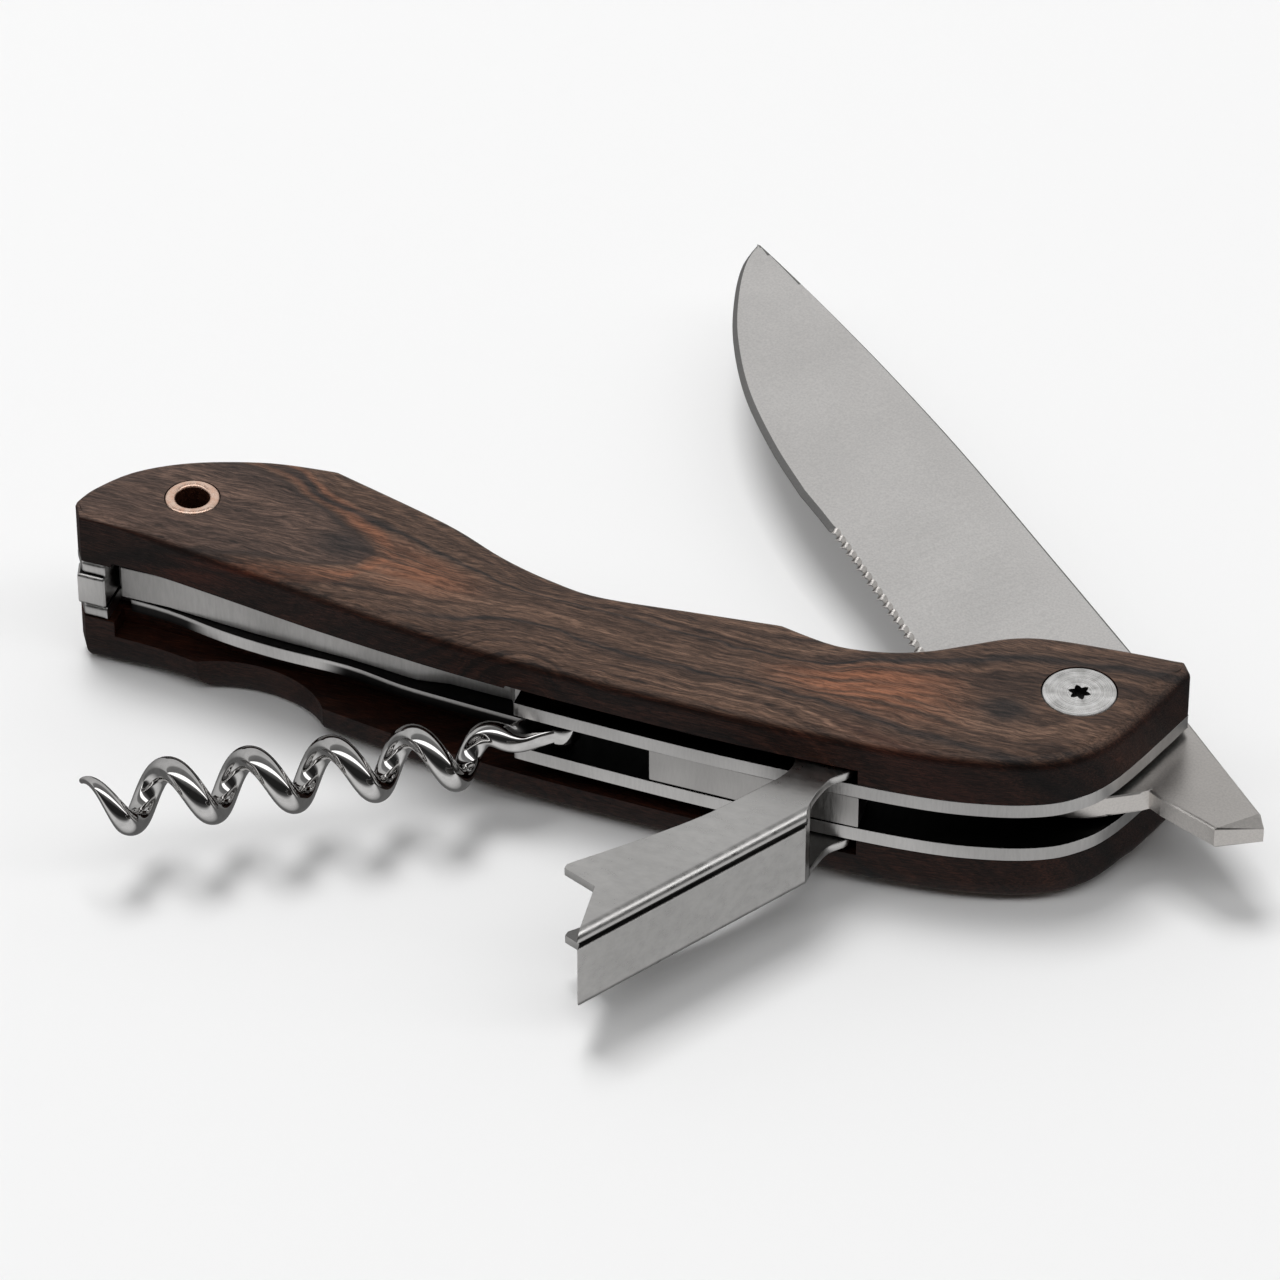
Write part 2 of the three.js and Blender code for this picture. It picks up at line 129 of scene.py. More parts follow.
def bend(start, control, end, steps=8):
    """Quadratic curve between two points, without its first point."""
    curve = []
    for step in range(1, steps + 1):
        t = step / steps
        weights = ((1 - t) ** 2, 2 * t * (1 - t), t * t)
        curve.append(tuple(sum(w * p[i] for w, p in zip(weights, (start, control, end))) for i in (0, 1)))
    return curve


def handle_outline():
    """The handle's closed outline, from its four edges."""
    points = []
    for edge in (NEAR_EDGE, NOSE_EDGE, WAIST_EDGE, BUTT_EDGE):
        curve = spline(edge)
        points += curve if not points or hypot(points[-1][0] - curve[0][0],
                                               points[-1][1] - curve[0][1]) > 0.01 else curve[1:]
    return points


def evenly(points, spacing):
    """Points at equal steps round a closed outline."""
    closed = [*points, points[0]]
    lengths = [0.0]
    for a, b in zip(closed, closed[1:]):
        lengths.append(lengths[-1] + hypot(b[0] - a[0], b[1] - a[1]))
    count = round(lengths[-1] / spacing)
    found, at = [], 0
    for index in range(count):
        target = lengths[-1] * index / count
        while lengths[at + 1] < target:
            at += 1
        t = (target - lengths[at]) / max(lengths[at + 1] - lengths[at], 1e-9)
        found.append(tuple(a + t * (b - a) for a, b in zip(closed[at], closed[at + 1])))
    return found


def smooth_step(low, high, value):
    """0 at low, 1 at high, eased between them."""
    t = min(max((value - low) / (high - low), 0), 1)
    return t * t * (3 - 2 * t)


def height_at(curve, x):
    """y of a curve, given as points, at x."""
    ordered = sorted(curve)
    for a, b in zip(ordered, ordered[1:]):
        if a[0] <= x <= b[0]:
            t = (x - a[0]) / max(b[0] - a[0], 1e-9)
            return a[1] + t * (b[1] - a[1])
    return ordered[0][1] if x < ordered[0][0] else ordered[-1][1]


# ---- mesh tools
def piece_from(name, mesh_points, faces):
    """An object from points in mm and faces."""
    mesh = bpy.data.meshes.new(name)
    mesh.from_pydata([Vector(p) * MM for p in mesh_points], [], faces)
    mesh.validate()
    made = bpy.data.objects.new(name, mesh)
    bpy.context.scene.collection.objects.link(made)
    shell = bmesh.new()
    shell.from_mesh(mesh)
    bmesh.ops.recalc_face_normals(shell, faces=shell.faces)
    shell.to_mesh(mesh)
    shell.free()
    return made


def loft(name, rings, capped=True):
    """A closed body through rings of equal counts, capped at both ends or else joined into a loop."""
    count = len(rings[0])
    points = [p for ring in rings for p in ring]
    faces = [list(range(count))[::-1], [len(points) - count + i for i in range(count)]] if capped else []
    for lower in range(len(rings) - capped):
        for i in range(count):
            j = (i + 1) % count
            a, b = lower * count, (lower + 1) % len(rings) * count
            faces.append([a + i, a + j, b + j, b + i])
    return piece_from(name, points, faces)


def plate(name, outline, low, high):
    """A flat body between two levels."""
    return loft(name, [[(x, y, z) for x, y in outline] for z in (low, high)])


def disc(at, radius, low, high, steps=64):
    return plate("cutter", arc(at, radius, 0, 360, steps)[:-1], low, high)


def settle(piece):
    """Applies a piece's modifiers to its mesh."""
    shown = piece.evaluated_get(bpy.context.evaluated_depsgraph_get())
    settled = bpy.data.meshes.new_from_object(shown)
    old = piece.data
    piece.modifiers.clear()
    piece.data = settled
    bpy.data.meshes.remove(old)
    return piece


def carve(piece, cutters, operation="DIFFERENCE"):
    """Cuts the cutters from a piece, or joins them to it, and removes them."""
    for cutter in cutters:
        change = piece.modifiers.new("carve", "BOOLEAN")
        change.operation = operation
        change.solver = "EXACT"
        change.object = cutter
    settle(piece)
    for cutter in cutters:
        bpy.data.objects.remove(cutter)
    return piece


def ease(piece, width, angle=40, segments=2):
    """Breaks the sharp edges with a small round bevel."""
    soft = piece.modifiers.new("ease", "BEVEL")
    soft.width = width * MM
    soft.segments = segments
    soft.limit_method = "ANGLE"
    soft.angle_limit = radians(angle)
    soft.use_clamp_overlap = False
    soft.miter_outer = "MITER_ARC"
    return settle(piece)


def shade(piece, angle=32):
    """Smooth shading between sharp edges, weighted to the large faces."""
    for face in piece.data.polygons:
        face.use_smooth = True
    piece.data.set_sharp_from_angle(angle=radians(angle))
    weighted = piece.modifiers.new("normals", "WEIGHTED_NORMAL")
    weighted.keep_sharp = True
    weighted.weight = 100
    return settle(piece)


def turn_to(piece, pivot, angle):
    """Moves a tool made in its own frame to its pivot and direction in the row frame."""
    place = Matrix.Translation(Vector((pivot[0], pivot[1], MIDDLE)) * MM)
    piece.data.transform(place @ Matrix.Rotation(radians(angle), 4, "Z"))
    return piece


def in_tool_frame(point, pivot, angle):
    """How far a point in mm lies ahead of and aside from a tool's pivot, along the tool's own axes."""
    along = Vector((cos(radians(angle)), sin(radians(angle))))
    offset = point.xy - Vector(pivot)
    return offset.dot(along), offset.dot(Vector((-along.y, along.x)))


def paint(piece, materials, choice):
    """Adds materials to a finished piece. choice gives a face's material from its centre in mm and
    its normal: 0 for the piece's own, 1 for the first one added, and so on."""
    for material in materials:
        piece.data.materials.append(material)
    for face in piece.data.polygons:
        face.material_index = choice(face.center / MM, face.normal)


# ---- materials
class Nodes:
    """Short names for building the nodes of one material or of the world."""

    def __init__(self, owner):
        self.owner = owner
        owner.use_nodes = True
        self.tree = owner.node_tree
        self.shader = self.tree.nodes.get("Principled BSDF")

    def add(self, kind, inputs=None, **settings):
        node = self.tree.nodes.new("ShaderNode" + kind)
        for key, value in settings.items():
            setattr(node, key, value)
        for key, value in (inputs or {}).items():
            self.feed(node.inputs[key], value)
        return node

    def feed(self, socket, value):
        if isinstance(value, bpy.types.NodeSocket):
            self.tree.links.new(value, socket)
        else:
            socket.default_value = value

    def math(self, operation, first, second=0.0, clamp=False):
        node = self.add("Math", {0: first, 1: second}, operation=operation, use_clamp=clamp)
        return node.outputs[0]

    def plus(self, first, second):
        return self.math("ADD", first, second)

    def minus(self, first, second):
        return self.math("SUBTRACT", first, second)

    def times(self, first, second):
        return self.math("MULTIPLY", first, second)

    def place(self):
        """x, y and z in mm."""
        coordinates = self.add("TexCoord").outputs["Object"]
        scaled = self.add("VectorMath", {0: coordinates, 3: 1 / MM}, operation="SCALE").outputs[0]
        split = self.add("SeparateXYZ", {0: scaled})
        return scaled, split.outputs

    def vector(self, x, y, z):
        return self.add("CombineXYZ", {0: x, 1: y, 2: z}).outputs[0]

    def length(self, x, y):
        return self.add("VectorMath", {0: self.vector(x, y, 0.0)}, operation="LENGTH").outputs["Value"]

    def upright(self):
        """Part of the surface's normal that points up."""
        return self.add("SeparateXYZ", {0: self.add("NewGeometry").outputs["Normal"]}).outputs[2]

    def noise(self, vector, scale, detail=3.0, rough=0.5):
        node = self.add("TexNoise", {"Vector": vector, "Scale": scale, "Detail": detail, "Roughness": rough})
        return node.outputs["Fac"]

    def span(self, value, low, high, start=0.0, end=1.0):
        """Value from low..high, smoothed to start..end."""
        node = self.add("MapRange", {0: value, 1: low, 2: high, 3: start, 4: end},
                        interpolation_type="SMOOTHSTEP")
        return node.outputs[0]

    def near(self, value, centre, reach):
        """1 where value is at centre, falling to 0 at reach from it."""
        gap = self.math("ABSOLUTE", self.minus(value, centre))
        return self.span(gap, 0.0, reach, 1.0, 0.0)

    def mix(self, factor, first, second, blend="MIX"):
        node = self.add("Mix", data_type="RGBA", blend_type=blend)
        self.feed(node.inputs[0], factor)
        self.feed(node.inputs[6], first)
        self.feed(node.inputs[7], second)
        return node.outputs[2]

    def ramp(self, value, stops):
        node = self.add("ValToRGB", {0: value})
        elements = node.color_ramp.elements
        while len(elements) < len(stops):
            elements.new(0.5)
        for element, (at, colour) in zip(elements, stops):
            element.position = at
            element.color = (*colour, 1)
        return node.outputs[0]

    def along(self, value, low, high, points):
        """A curve through (place, height) points, both in mm, as a function of value."""
        node = self.add("FloatCurve", {"Factor": 1.0, "Value": self.add(
            "MapRange", {0: value, 1: low, 2: high}).outputs[0]})
        lowest = min(height for _, height in points)
        reach = max(height for _, height in points) - lowest
        curve = node.mapping.curves[0]
        spots = [((place - low) / (high - low), (height - lowest) / reach) for place, height in points]
        while len(curve.points) < len(spots):
            curve.points.new(0.5, 0.5)
        for spot, location in zip(curve.points, spots):
            spot.location = location
        node.mapping.update()
        return self.plus(self.times(node.outputs[0], reach), lowest)

    def bump(self, height, distance, strength=1.0):
        node = self.add("Bump", {"Height": height, "Distance": distance * MM, "Strength": strength})
        self.feed(self.shader.inputs["Normal"], node.outputs[0])

    def set(self, **values):
        for key, value in values.items():
            self.feed(self.shader.inputs[key.replace("_", " ")], value)
        return self.owner


def colour(red, green, blue):
    """An opaque colour."""
    return red, green, blue, 1


# Dark lines of the figure, as (x, y) on the scale's face.
FAR_STREAK = [(-60, 17), (-41, 14.2), (-33.6, 10.3), (-26.6, 8.2), (-17.9, 5.6), (-8, 3), (0, 2.5),
              (10, 2), (19.8, 2.1), (26.8, 4.6), (34.8, 7.2), (42.8, 9.8), (60, 12)]
NEAR_STREAK = [(-60, -7.5), (-40, -6.6), (-24.4, -4.7), (-14.8, -2.5), (-7, -1.1), (-2, -2), (5, -2.8),
               (16, -2.9), (25, -3.8), (32, -4.4), (45, -6), (60, -9)]
KNOT = (41.2, 1.3)
# Tongue of heartwood round the eyelet: its far and near borders, which meet in a blunt corner.
TONGUE_FAR = [(-60, 14.5), (-46, 13.4), (-41.4, 12.8), (-34.6, 9.2), (-29.7, 6.4), (-27.4, 4.8), (-20, -3)]
TONGUE_NEAR = [(-60, -4), (-45.8, -1.6), (-40, -0.6), (-33.4, 0.3), (-28.2, 1.7), (-26.8, 3.4), (-20, 10)]
TONGUE_CORNER = (-30.0, 4.0)


def walnut(name, outward, seed):
    """Oiled dark walnut: figure that follows two dark streaks, a blunt tongue of grey heartwood
    round the lanyard eyelet, a knot beside the pivot, fine fibres and open pores. Every face but the
    outer one, whose normal points to outward along Z, carries painted shade: it is multiplied darker and
    redder."""
    n = Nodes(bpy.data.materials.new(name))
    whole, (x, y, z) = n.place()
    depth = n.minus(z, HANDLE_TOP)
    drift = n.noise(n.vector(n.times(x, 0.05), n.times(y, 0.14), n.plus(n.times(z, 0.1), seed)), 1.0, 2.0)
    drift = n.times(n.minus(drift, 0.5), 2.4)
    wander = n.noise(n.vector(n.times(x, 0.25), n.times(y, 0.5), z), 1.0, 3.0)
    wander = n.times(n.minus(wander, 0.5), 1.1)
    across = n.plus(n.plus(y, n.times(depth, 0.55)), n.plus(drift, wander))
    far = n.along(x, -60, 60, FAR_STREAK)
    near = n.along(x, -60, 60, NEAR_STREAK)
    flow = n.math("DIVIDE", n.minus(across, near), n.minus(far, near))

    # Knot: the fibres part round it.
    from_knot = n.length(n.times(n.minus(x, KNOT[0]), 0.72), n.minus(across, KNOT[1]))
    knot_reach = n.span(from_knot, 1.6, 5.5, 1.0, 0.0)
    flow = n.plus(flow, n.times(knot_reach, n.times(from_knot, 0.07)))

    bands = n.noise(n.vector(n.times(x, 0.014), n.times(flow, 3.6),
                             n.plus(n.times(z, 0.05), seed)), 1.0, 4.0, 0.62)
    rings = n.noise(n.vector(n.times(x, 0.035), n.times(flow, 15.0), n.times(z, 0.3)), 1.0, 5.0, 0.65)
    fibres = n.noise(n.vector(n.times(x, 0.5), n.times(across, 5.5), n.times(z, 5.5)), 1.0, 6.0, 0.72)
    flecks = n.noise(n.vector(n.times(x, 1.6), n.times(across, 8.0), n.times(z, 8.0)), 1.0, 3.0, 0.6)

    tone = n.plus(n.times(bands, 0.46), n.plus(n.times(rings, 0.30), n.times(fibres, 0.24)))
    wood = n.ramp(tone, [(0.36, (0.014, 0.0085, 0.0070)), (0.44, (0.036, 0.0205, 0.0145)),
                         (0.50, (0.070, 0.0400, 0.0270)), (0.56, (0.108, 0.0620, 0.0415)),
                         (0.65, (0.190, 0.1130, 0.0770))])

    # Warm bands beside the tongue, and the red-brown field between the streaks before the knot.
    far_border = n.along(x, -60, -20, TONGUE_FAR)
    near_border = n.along(x, -60, -20, TONGUE_NEAR)
    within = n.math("MINIMUM", n.minus(far_border, across), n.minus(across, near_border))
    beside = n.times(n.near(within, -1.9, 1.9), n.span(x, -14.0, -24.0))
    ahead = n.times(n.near(x, -21.0, 9.0), n.near(flow, 0.62, 0.42))
    field = n.times(n.near(flow, 0.50, 0.62), n.near(x, 27.0, 13.5))
    field = n.math("MULTIPLY", field, 1.25, clamp=True)
    warm = n.math("MAXIMUM", n.times(n.math("MAXIMUM", beside, ahead), 0.8), field)
    warm = n.times(warm, n.span(rings, 0.32, 0.62))
    wood = n.mix(n.times(warm, 0.9), wood, colour(0.245, 0.0960, 0.0490))
    low_glow = n.times(n.near(flow, -0.32, 0.28), n.near(x, 36.0, 15.0))
    wood = n.mix(n.times(low_glow, 0.5), wood, colour(0.120, 0.0480, 0.0310))

    # Grey-brown inside the tongue, darkest at its corner and along its borders.
    inside = n.span(within, -0.5, 0.9)
    grey = n.ramp(n.plus(n.times(rings, 0.5), n.times(fibres, 0.5)),
                  [(0.36, (0.029, 0.0190, 0.0155)), (0.50, (0.067, 0.0415, 0.0320)),
                   (0.64, (0.124, 0.0760, 0.0570))])
    wood = n.mix(n.times(inside, 0.85), wood, grey)
    from_corner = n.length(n.times(n.minus(x, TONGUE_CORNER[0]), 0.6), n.minus(across, TONGUE_CORNER[1]))
    corner = n.times(n.span(from_corner, 3.2, 0.4), inside)
    rim = n.times(n.near(within, 0.25, 0.65), n.span(fibres, 0.35, 0.6, 0.25, 1.0))
    far_line = n.times(n.near(flow, 1.0, 0.07), n.span(x, -48.0, -36.0))
    near_line = n.times(n.near(flow, 0.0, 0.10), n.span(x, -26.0, -14.0))
    lines = n.times(n.span(from_knot, 2.9, 0.5), 0.95)
    for dark, depth_of in ((rim, 0.85), (far_line, 0.95), (near_line, 0.95), (corner, 0.85)):
        lines = n.math("MAXIMUM", lines, n.times(dark, depth_of))
    lines = n.times(lines, n.span(fibres, 0.25, 0.75, 1.10, 0.78))
    wood = n.mix(lines, wood, colour(0.0155, 0.0125, 0.0120))

    streaks = n.span(fibres, 0.34, 0.66, 0.50, 1.48)
    wood = n.mix(1.0, wood, n.add("CombineColor", {0: streaks, 1: streaks, 2: streaks}).outputs[0],
                 "MULTIPLY")
    pits = n.span(flecks, 0.40, 0.27)
    wood = n.mix(n.times(pits, 0.6), wood, colour(0.012, 0.0085, 0.0075))

    # Painted shade: faces that don't point to outward are multiplied darker and redder than the outer face.
    unshaded_face = n.span(n.times(n.upright(), outward), 0.35, 0.97, 0.0, 1.0)
    painted_shade_wood = n.mix(1.0, wood, colour(0.26, 0.135, 0.105), "MULTIPLY")
    n.bump(n.minus(n.times(fibres, 0.5), n.times(pits, 0.6)), 0.045, 0.8)
    return n.set(Base_Color=n.mix(unshaded_face, painted_shade_wood, wood), Roughness=n.span(fibres, 0.3, 0.7, 0.56, 0.42),
                 Specular_IOR_Level=n.span(unshaded_face, 0.0, 1.0, 0.18, 0.42))


def steel(name, tint, rough, grain, grain_scale, strength=0.5, blotch=0.10, shade_flat_faces=False, worn=(),
          metallic=1.0):
    """Steel with a directional or blasted grain: grain scales the noise along x, y and z. With
    shade_flat_faces, faces that point up or down are painted near black as painted shade and the edges keep
    the grey.
    Where worn is (low x, high x, brink), the worm bay's wall is painted dark as painted shade below brink,
    except between them."""
    n = Nodes(bpy.data.materials.new(name))
    whole, (x, y, z) = n.place()
    stretched = n.vector(n.times(x, grain[0]), n.times(y, grain[1]), n.times(z, grain[2]))
    scratch = n.noise(stretched, grain_scale, 4.0, 0.6)
    cloud = n.noise(whole, 0.09, 2.0)
    shade_of = n.span(cloud, 0.3, 0.7, 1 - blotch, 1 + blotch)
    fine = n.span(scratch, 0.25, 0.75, 0.9, 1.08)
    level_of = n.times(shade_of, fine)
    grey = n.add("CombineColor", {0: n.times(level_of, tint[0]),
                                  1: n.times(level_of, tint[1]),
                                  2: n.times(level_of, tint[2])}).outputs[0]
    # Painted shade: faces that point up or down are mixed to near black.
    if shade_flat_faces:
        flat_shade = n.span(n.math("ABSOLUTE", n.upright()), 0.80, 0.97)
        # Painted shade on the bay wall: near black below brink, outside low..high x.
        if worn:
            low, high, brink = worn
            beside = n.times(n.math("MAXIMUM", n.span(x, low + 1.0, low - 2.0),
                                               n.span(x, high - 2.0, high + 1.5)),
                            n.times(n.span(x, -54.0, -53.0), n.span(x, -7.0, -8.2)))
            flat_shade = n.math("MAXIMUM", flat_shade, n.times(beside, n.span(z, brink, brink - 0.3)))
        grey = n.mix(flat_shade, grey, colour(0.020, 0.019, 0.019))
    n.bump(scratch, 0.02, strength)
    return n.set(Base_Color=grey, Metallic=metallic,
                 Roughness=n.span(scratch, 0.2, 0.8, rough - 0.05, rough + 0.07))


def sheet_steel(name, tint, **more):
    """Sheet steel, its edges ground along X and its flat faces painted near black as painted shade."""
    return steel(name, tint, 0.34, (3.0, 0.5, 0.5), 1.0, 0.8, 0.14, True, **more)


def turned_steel(name, centre):
    """Bright steel faced on a lathe: fine rings round its axis."""
    n = Nodes(bpy.data.materials.new(name))
    whole, (x, y, z) = n.place()
    from_x, from_y = n.minus(x, centre[0]), n.minus(y, centre[1])
    radius = n.length(from_x, from_y)
    around = n.math("ARCTAN2", from_y, from_x)
    cuts = n.noise(n.vector(n.times(radius, 9.0), n.times(around, 0.35), 0.0), 1.0, 3.0, 0.6)
    fan = n.noise(n.vector(n.times(around, 2.4), n.times(radius, 0.5), 3.0), 1.0, 2.0)
    grey = n.ramp(n.plus(n.times(cuts, 0.55), n.times(fan, 0.45)),
                  [(0.38, (0.50, 0.495, 0.48)), (0.62, (1.0, 0.99, 0.98))])
    n.bump(cuts, 0.03, 0.7)
    return n.set(Base_Color=grey, Metallic=0.8, Roughness=n.span(cuts, 0.3, 0.7, 0.24, 0.36))


def rose_copper(name, dull=(0.88, 0.56, 0.42), bright=(1.0, 0.76, 0.62)):
    """Copper that varies between a dull and a bright colour."""
    n = Nodes(bpy.data.materials.new(name))
    whole, (x, y, z) = n.place()
    wear = n.noise(whole, 1.6, 4.0, 0.6)
    n.bump(wear, 0.02, 0.4)
    return n.set(Base_Color=n.ramp(wear, [(0.35, dull), (0.65, bright)]), Metallic=0.75,
                 Roughness=n.span(wear, 0.3, 0.7, 0.20, 0.34))


WALNUT_UPPER = walnut("walnut_upper", 1.0, 0.0)
WALNUT_LOWER = walnut("walnut_lower", -1.0, 7.0)
LINER_STEEL = sheet_steel("liner_steel", (0.56, 0.55, 0.54))
# The lower liner's bay wall carries painted shade, bright only over the scallop.
LOWER_LINER_STEEL = sheet_steel("lower_liner_steel", (0.56, 0.55, 0.54),
                                worn=(-44.5, -29.5, LOWER_LINER[1] - 0.3))
BLADE_STEEL = steel("blade_steel", (0.92, 0.90, 0.88), 0.42, (4.0, 4.0, 4.0), 1.0, 0.25, 0.03)
TANG_STEEL = steel("tang_steel", (0.72, 0.69, 0.66), 0.32, (4.0, 4.0, 4.0), 1.0, 0.25, 0.06)
# Painted reflection and shade: dark steel for the blade's bevel, point and spine and for the lever's inside.
PAINTED_SHADE_STEEL = steel("painted_shade_steel", (0.28, 0.275, 0.27), 0.35, (4.0, 4.0, 4.0), 1.0, 0.25, 0.02)
SPRING_STEEL = sheet_steel("spring_steel", (0.46, 0.45, 0.44), metallic=0.5)
BLOCK_STEEL = sheet_steel("block_steel", (0.44, 0.43, 0.42))
LEVER_STEEL = steel("lever_steel", (0.68, 0.67, 0.655), 0.30, (0.5, 0.9, 0.9), 1.0, 0.02, 0.05)
WORM_STEEL = steel("worm_steel", (0.66, 0.65, 0.64), 0.05, (1.0, 1.0, 1.0), 0.9, 0.10, 0.05)
# Painted shadow: near-black steel for the screw's socket, the lever's groove and the CAD nodes left inside.
PAINTED_SHADOW_STEEL = steel("painted_shadow_steel", (0.10, 0.098, 0.096), 0.40, (3.0, 3.0, 0.6), 1.0)
SCREW_STEEL = turned_steel("screw_steel", BLADE_PIVOT)
COPPER = rose_copper("rose_copper")
# Painted shade: a dark copper for the eyelet's bore.
PAINTED_SHADE_COPPER = rose_copper("painted_shade_copper", (0.10, 0.040, 0.024), (0.20, 0.085, 0.050))


def finish(piece, body, slot, material, *nodes):
    """Gives a piece its material and body and hides the CAD nodes it stands for. slot is not used."""
    piece.data.materials.clear()
    piece.data.materials.append(material)
    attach(piece, body)
    if nodes:
        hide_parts(*nodes)
    return piece


# ---- camera
ELEVATION, AZIMUTH = radians(39.3), radians(19.18)
TARGET = Vector((-0.295, 10.757, 9.5)) * MM
DISTANCE = 765.3 * MM
camera = bpy.data.objects.new("camera", bpy.data.cameras.new("camera"))
camera.data.lens = 210.94
camera.data.sensor_width = 36
camera.data.clip_start = 0.01
towards = Vector((sin(AZIMUTH) * cos(ELEVATION), -cos(AZIMUTH) * cos(ELEVATION), sin(ELEVATION)))
camera.location = TARGET + DISTANCE * towards
camera.rotation_euler = (-towards).to_track_quat("-Z", "Y").to_euler()
bpy.context.scene.collection.objects.link(camera)
bpy.context.scene.camera = camera

# ---- scales
OUTLINE = handle_outline()
RABBET_HEIGHT = 1.9
SCALE_SET_BACK = 0.4
LINER_SET_BACK = 0.2
LEVER_ROOT_RELIEF = 4.3
LEVER_LANE = 3.6
OUTLINE_STEP = 0.55
ROLL_STEPS = 6
CROWN = 0.12
CROWN_RINGS = ((1.2, 0.05), (2.2, 0.015), (3.0, 0.0))   # (distance in from the roll, drop)
BUTT_END, NOSE_END = -58.5, 57.5


def inward(points, window=3):
    """Unit normals into a closed anticlockwise outline, smoothed over its neighbours."""
    count = len(points)
    normals = []
    for i in range(count):
        a, b = points[(i - window) % count], points[(i + window) % count]
        length = hypot(b[0] - a[0], b[1] - a[1])
        normals.append(((a[1] - b[1]) / length, (b[0] - a[0]) / length))
    return normals


def roll_top(x, y):
    """Height and inset in mm of the upper scale's rolled edge at a point of its outline."""
    nose = smooth_step(38, 50, x) * smooth_step(13.6, 9, y)
    butt = smooth_step(-46, -55, x)
    far = smooth_step(3, 6, y) * (1 - nose) * (1 - butt)
    height = 1.5 + 0.3 * nose - 1.0 * butt - 0.4 * far
    inset = 1.25 + 0.5 * nose - 0.85 * butt - 0.35 * far
    return height, inset


def roll_bottom(x, y):
    """Height and inset in mm of the lower scale's rolled edge."""
    butt = smooth_step(-46, -55, x)
    far = smooth_step(3, 6, y)
    return 2.9 - 0.8 * butt - 0.6 * far, 2.2 - 0.8 * butt - 0.5 * far


def rolled_body(name, low, high, roll, upwards):
    """A scale's blank: straight wall, then a rolled edge into a gently crowned face."""
    points = evenly(OUTLINE, OUTLINE_STEP)
    normals = inward(points)
    face, joint = (high, low) if upwards else (low, high)
    sign = 1 if upwards else -1
    rings = [[(x, y, joint) for x, y in points]]
    for step in range(ROLL_STEPS + 1):
        turn = pi / 2 * step / ROLL_STEPS
        ring = []
        for (x, y), (nx, ny) in zip(points, normals):
            height, inset = roll(x, y)
            level_here = face - sign * (CROWN + (height - CROWN) * (1 - sin(turn)))
            shift = inset * (1 - cos(turn))
            ring.append((x + nx * shift, y + ny * shift, level_here))
        rings.append(ring)
    for reach, drop in CROWN_RINGS:
        ring = []
        for (x, y), (nx, ny) in zip(points, normals):
            inset = roll(x, y)[1] + reach * smooth_step(0, 6, wall_room(x))
            ring.append((x + nx * inset, y + ny * inset, face - sign * drop))
        rings.append(ring)
    return loft(name, rings)


def wall_room(x):
    """Distance in mm from the handle's two ends, so the crown closes gently there."""
    return min(x - BUTT_END, NOSE_END - x)


def bay(floor, low, high, set_back):
    """The worm bay's cut in a plate, open to the near side."""
    back = [(x, y + set_back) for x, y in spline(floor, 4)]
    return plate("cutter", [(floor[0][0], -BEYOND), (floor[-1][0], -BEYOND), *back[::-1]], low, high)


# Roof of the bay in the upper scale: (x, height over the liner), lowest over the worm's point.
BAY_ROOF = [(-53.9, 0.5), (-31, 0.9), (-20, 1.4), (-7.6, 1.6)]


def roofed_bay():
    """The worm bay's cut in the upper scale, in sections along X."""
    sections = []
    for x, y in spline(BAY_FLOOR, 4):
        back, roof = y + SCALE_SET_BACK, UPPER_LINER[1] + height_at(BAY_ROOF, x)
        low = UPPER_SCALE_LOW - PAST
        sections.append([(x, -BEYOND, low), (x, back, low), (x, back, roof), (x, -BEYOND, roof)])
    return loft("cutter", sections)


def lever_relief(low, high):
    """The cuts that clear the folded lever's flange and its round root."""
    first = LEVER_RELIEF_FLOOR[0]
    lane = [(first[0] - 1, -BEYOND), (LEVER_PIVOT[0] + LEVER_LANE, -BEYOND),
            (LEVER_PIVOT[0], LEVER_PIVOT[1] + 1), *LEVER_RELIEF_FLOOR[::-1], (first[0] - 1, first[1])]
    return [plate("cutter", lane, low, high), disc(LEVER_PIVOT, LEVER_ROOT_RELIEF, low, high)]


SCALLOP_CENTRE, SCALLOP_HALF = (-38.5, -7.2), (10, 7.4)
SCALLOP_FLARE = ((-PAST, 1.16), (0, 1.10), (0.6, 1.045), (1.5, 1.01), (2.6, 1.0),
                 (LOWER_SCALE_HIGH + PAST, 1.0))   # (height, size)


def scallop():
    """Thumb scallop beside the worm's point: an upright elliptical cove, flared at the bottom."""
    round_once = arc((0, 0), 1, 0, 360, 72)[:-1]
    return loft("cutter", [[(SCALLOP_CENTRE[0] + SCALLOP_HALF[0] * swell * x,
                             SCALLOP_CENTRE[1] + SCALLOP_HALF[1] * swell * y, z) for x, y in round_once]
                           for z, swell in SCALLOP_FLARE])


SEAT_CLEARANCE = 0.1
EYELET_OUTER, EYELET_INNER, EYELET_FLANGE, FLANGE_THICKNESS = 2.3, 1.8, 2.8, 0.5
HEAD_HEIGHT = HEAD_TOP - HEAD_SEAT

upper = rolled_body("upper_scale_walnut", UPPER_SCALE_LOW, HANDLE_TOP, roll_top, True)
under, over = UPPER_SCALE_LOW - PAST, HANDLE_TOP + PAST
carve(upper, [
    roofed_bay(),
    *lever_relief(under, UPPER_LINER[1] + RABBET_HEIGHT),
    disc(LANYARD, EYELET_OUTER + FIT, under, over),
    disc(LANYARD, EYELET_FLANGE + SEAT_CLEARANCE, HANDLE_TOP - FLANGE_THICKNESS, over),
    disc(BLADE_PIVOT, BARREL_RADIUS + FIT, under, over),
    disc(BLADE_PIVOT, HEAD_RADIUS + SEAT_CLEARANCE, HEAD_SEAT - 0.05, over),
])
finish(shade(upper), "handle", "walnut", WALNUT_UPPER, "upper_scale")

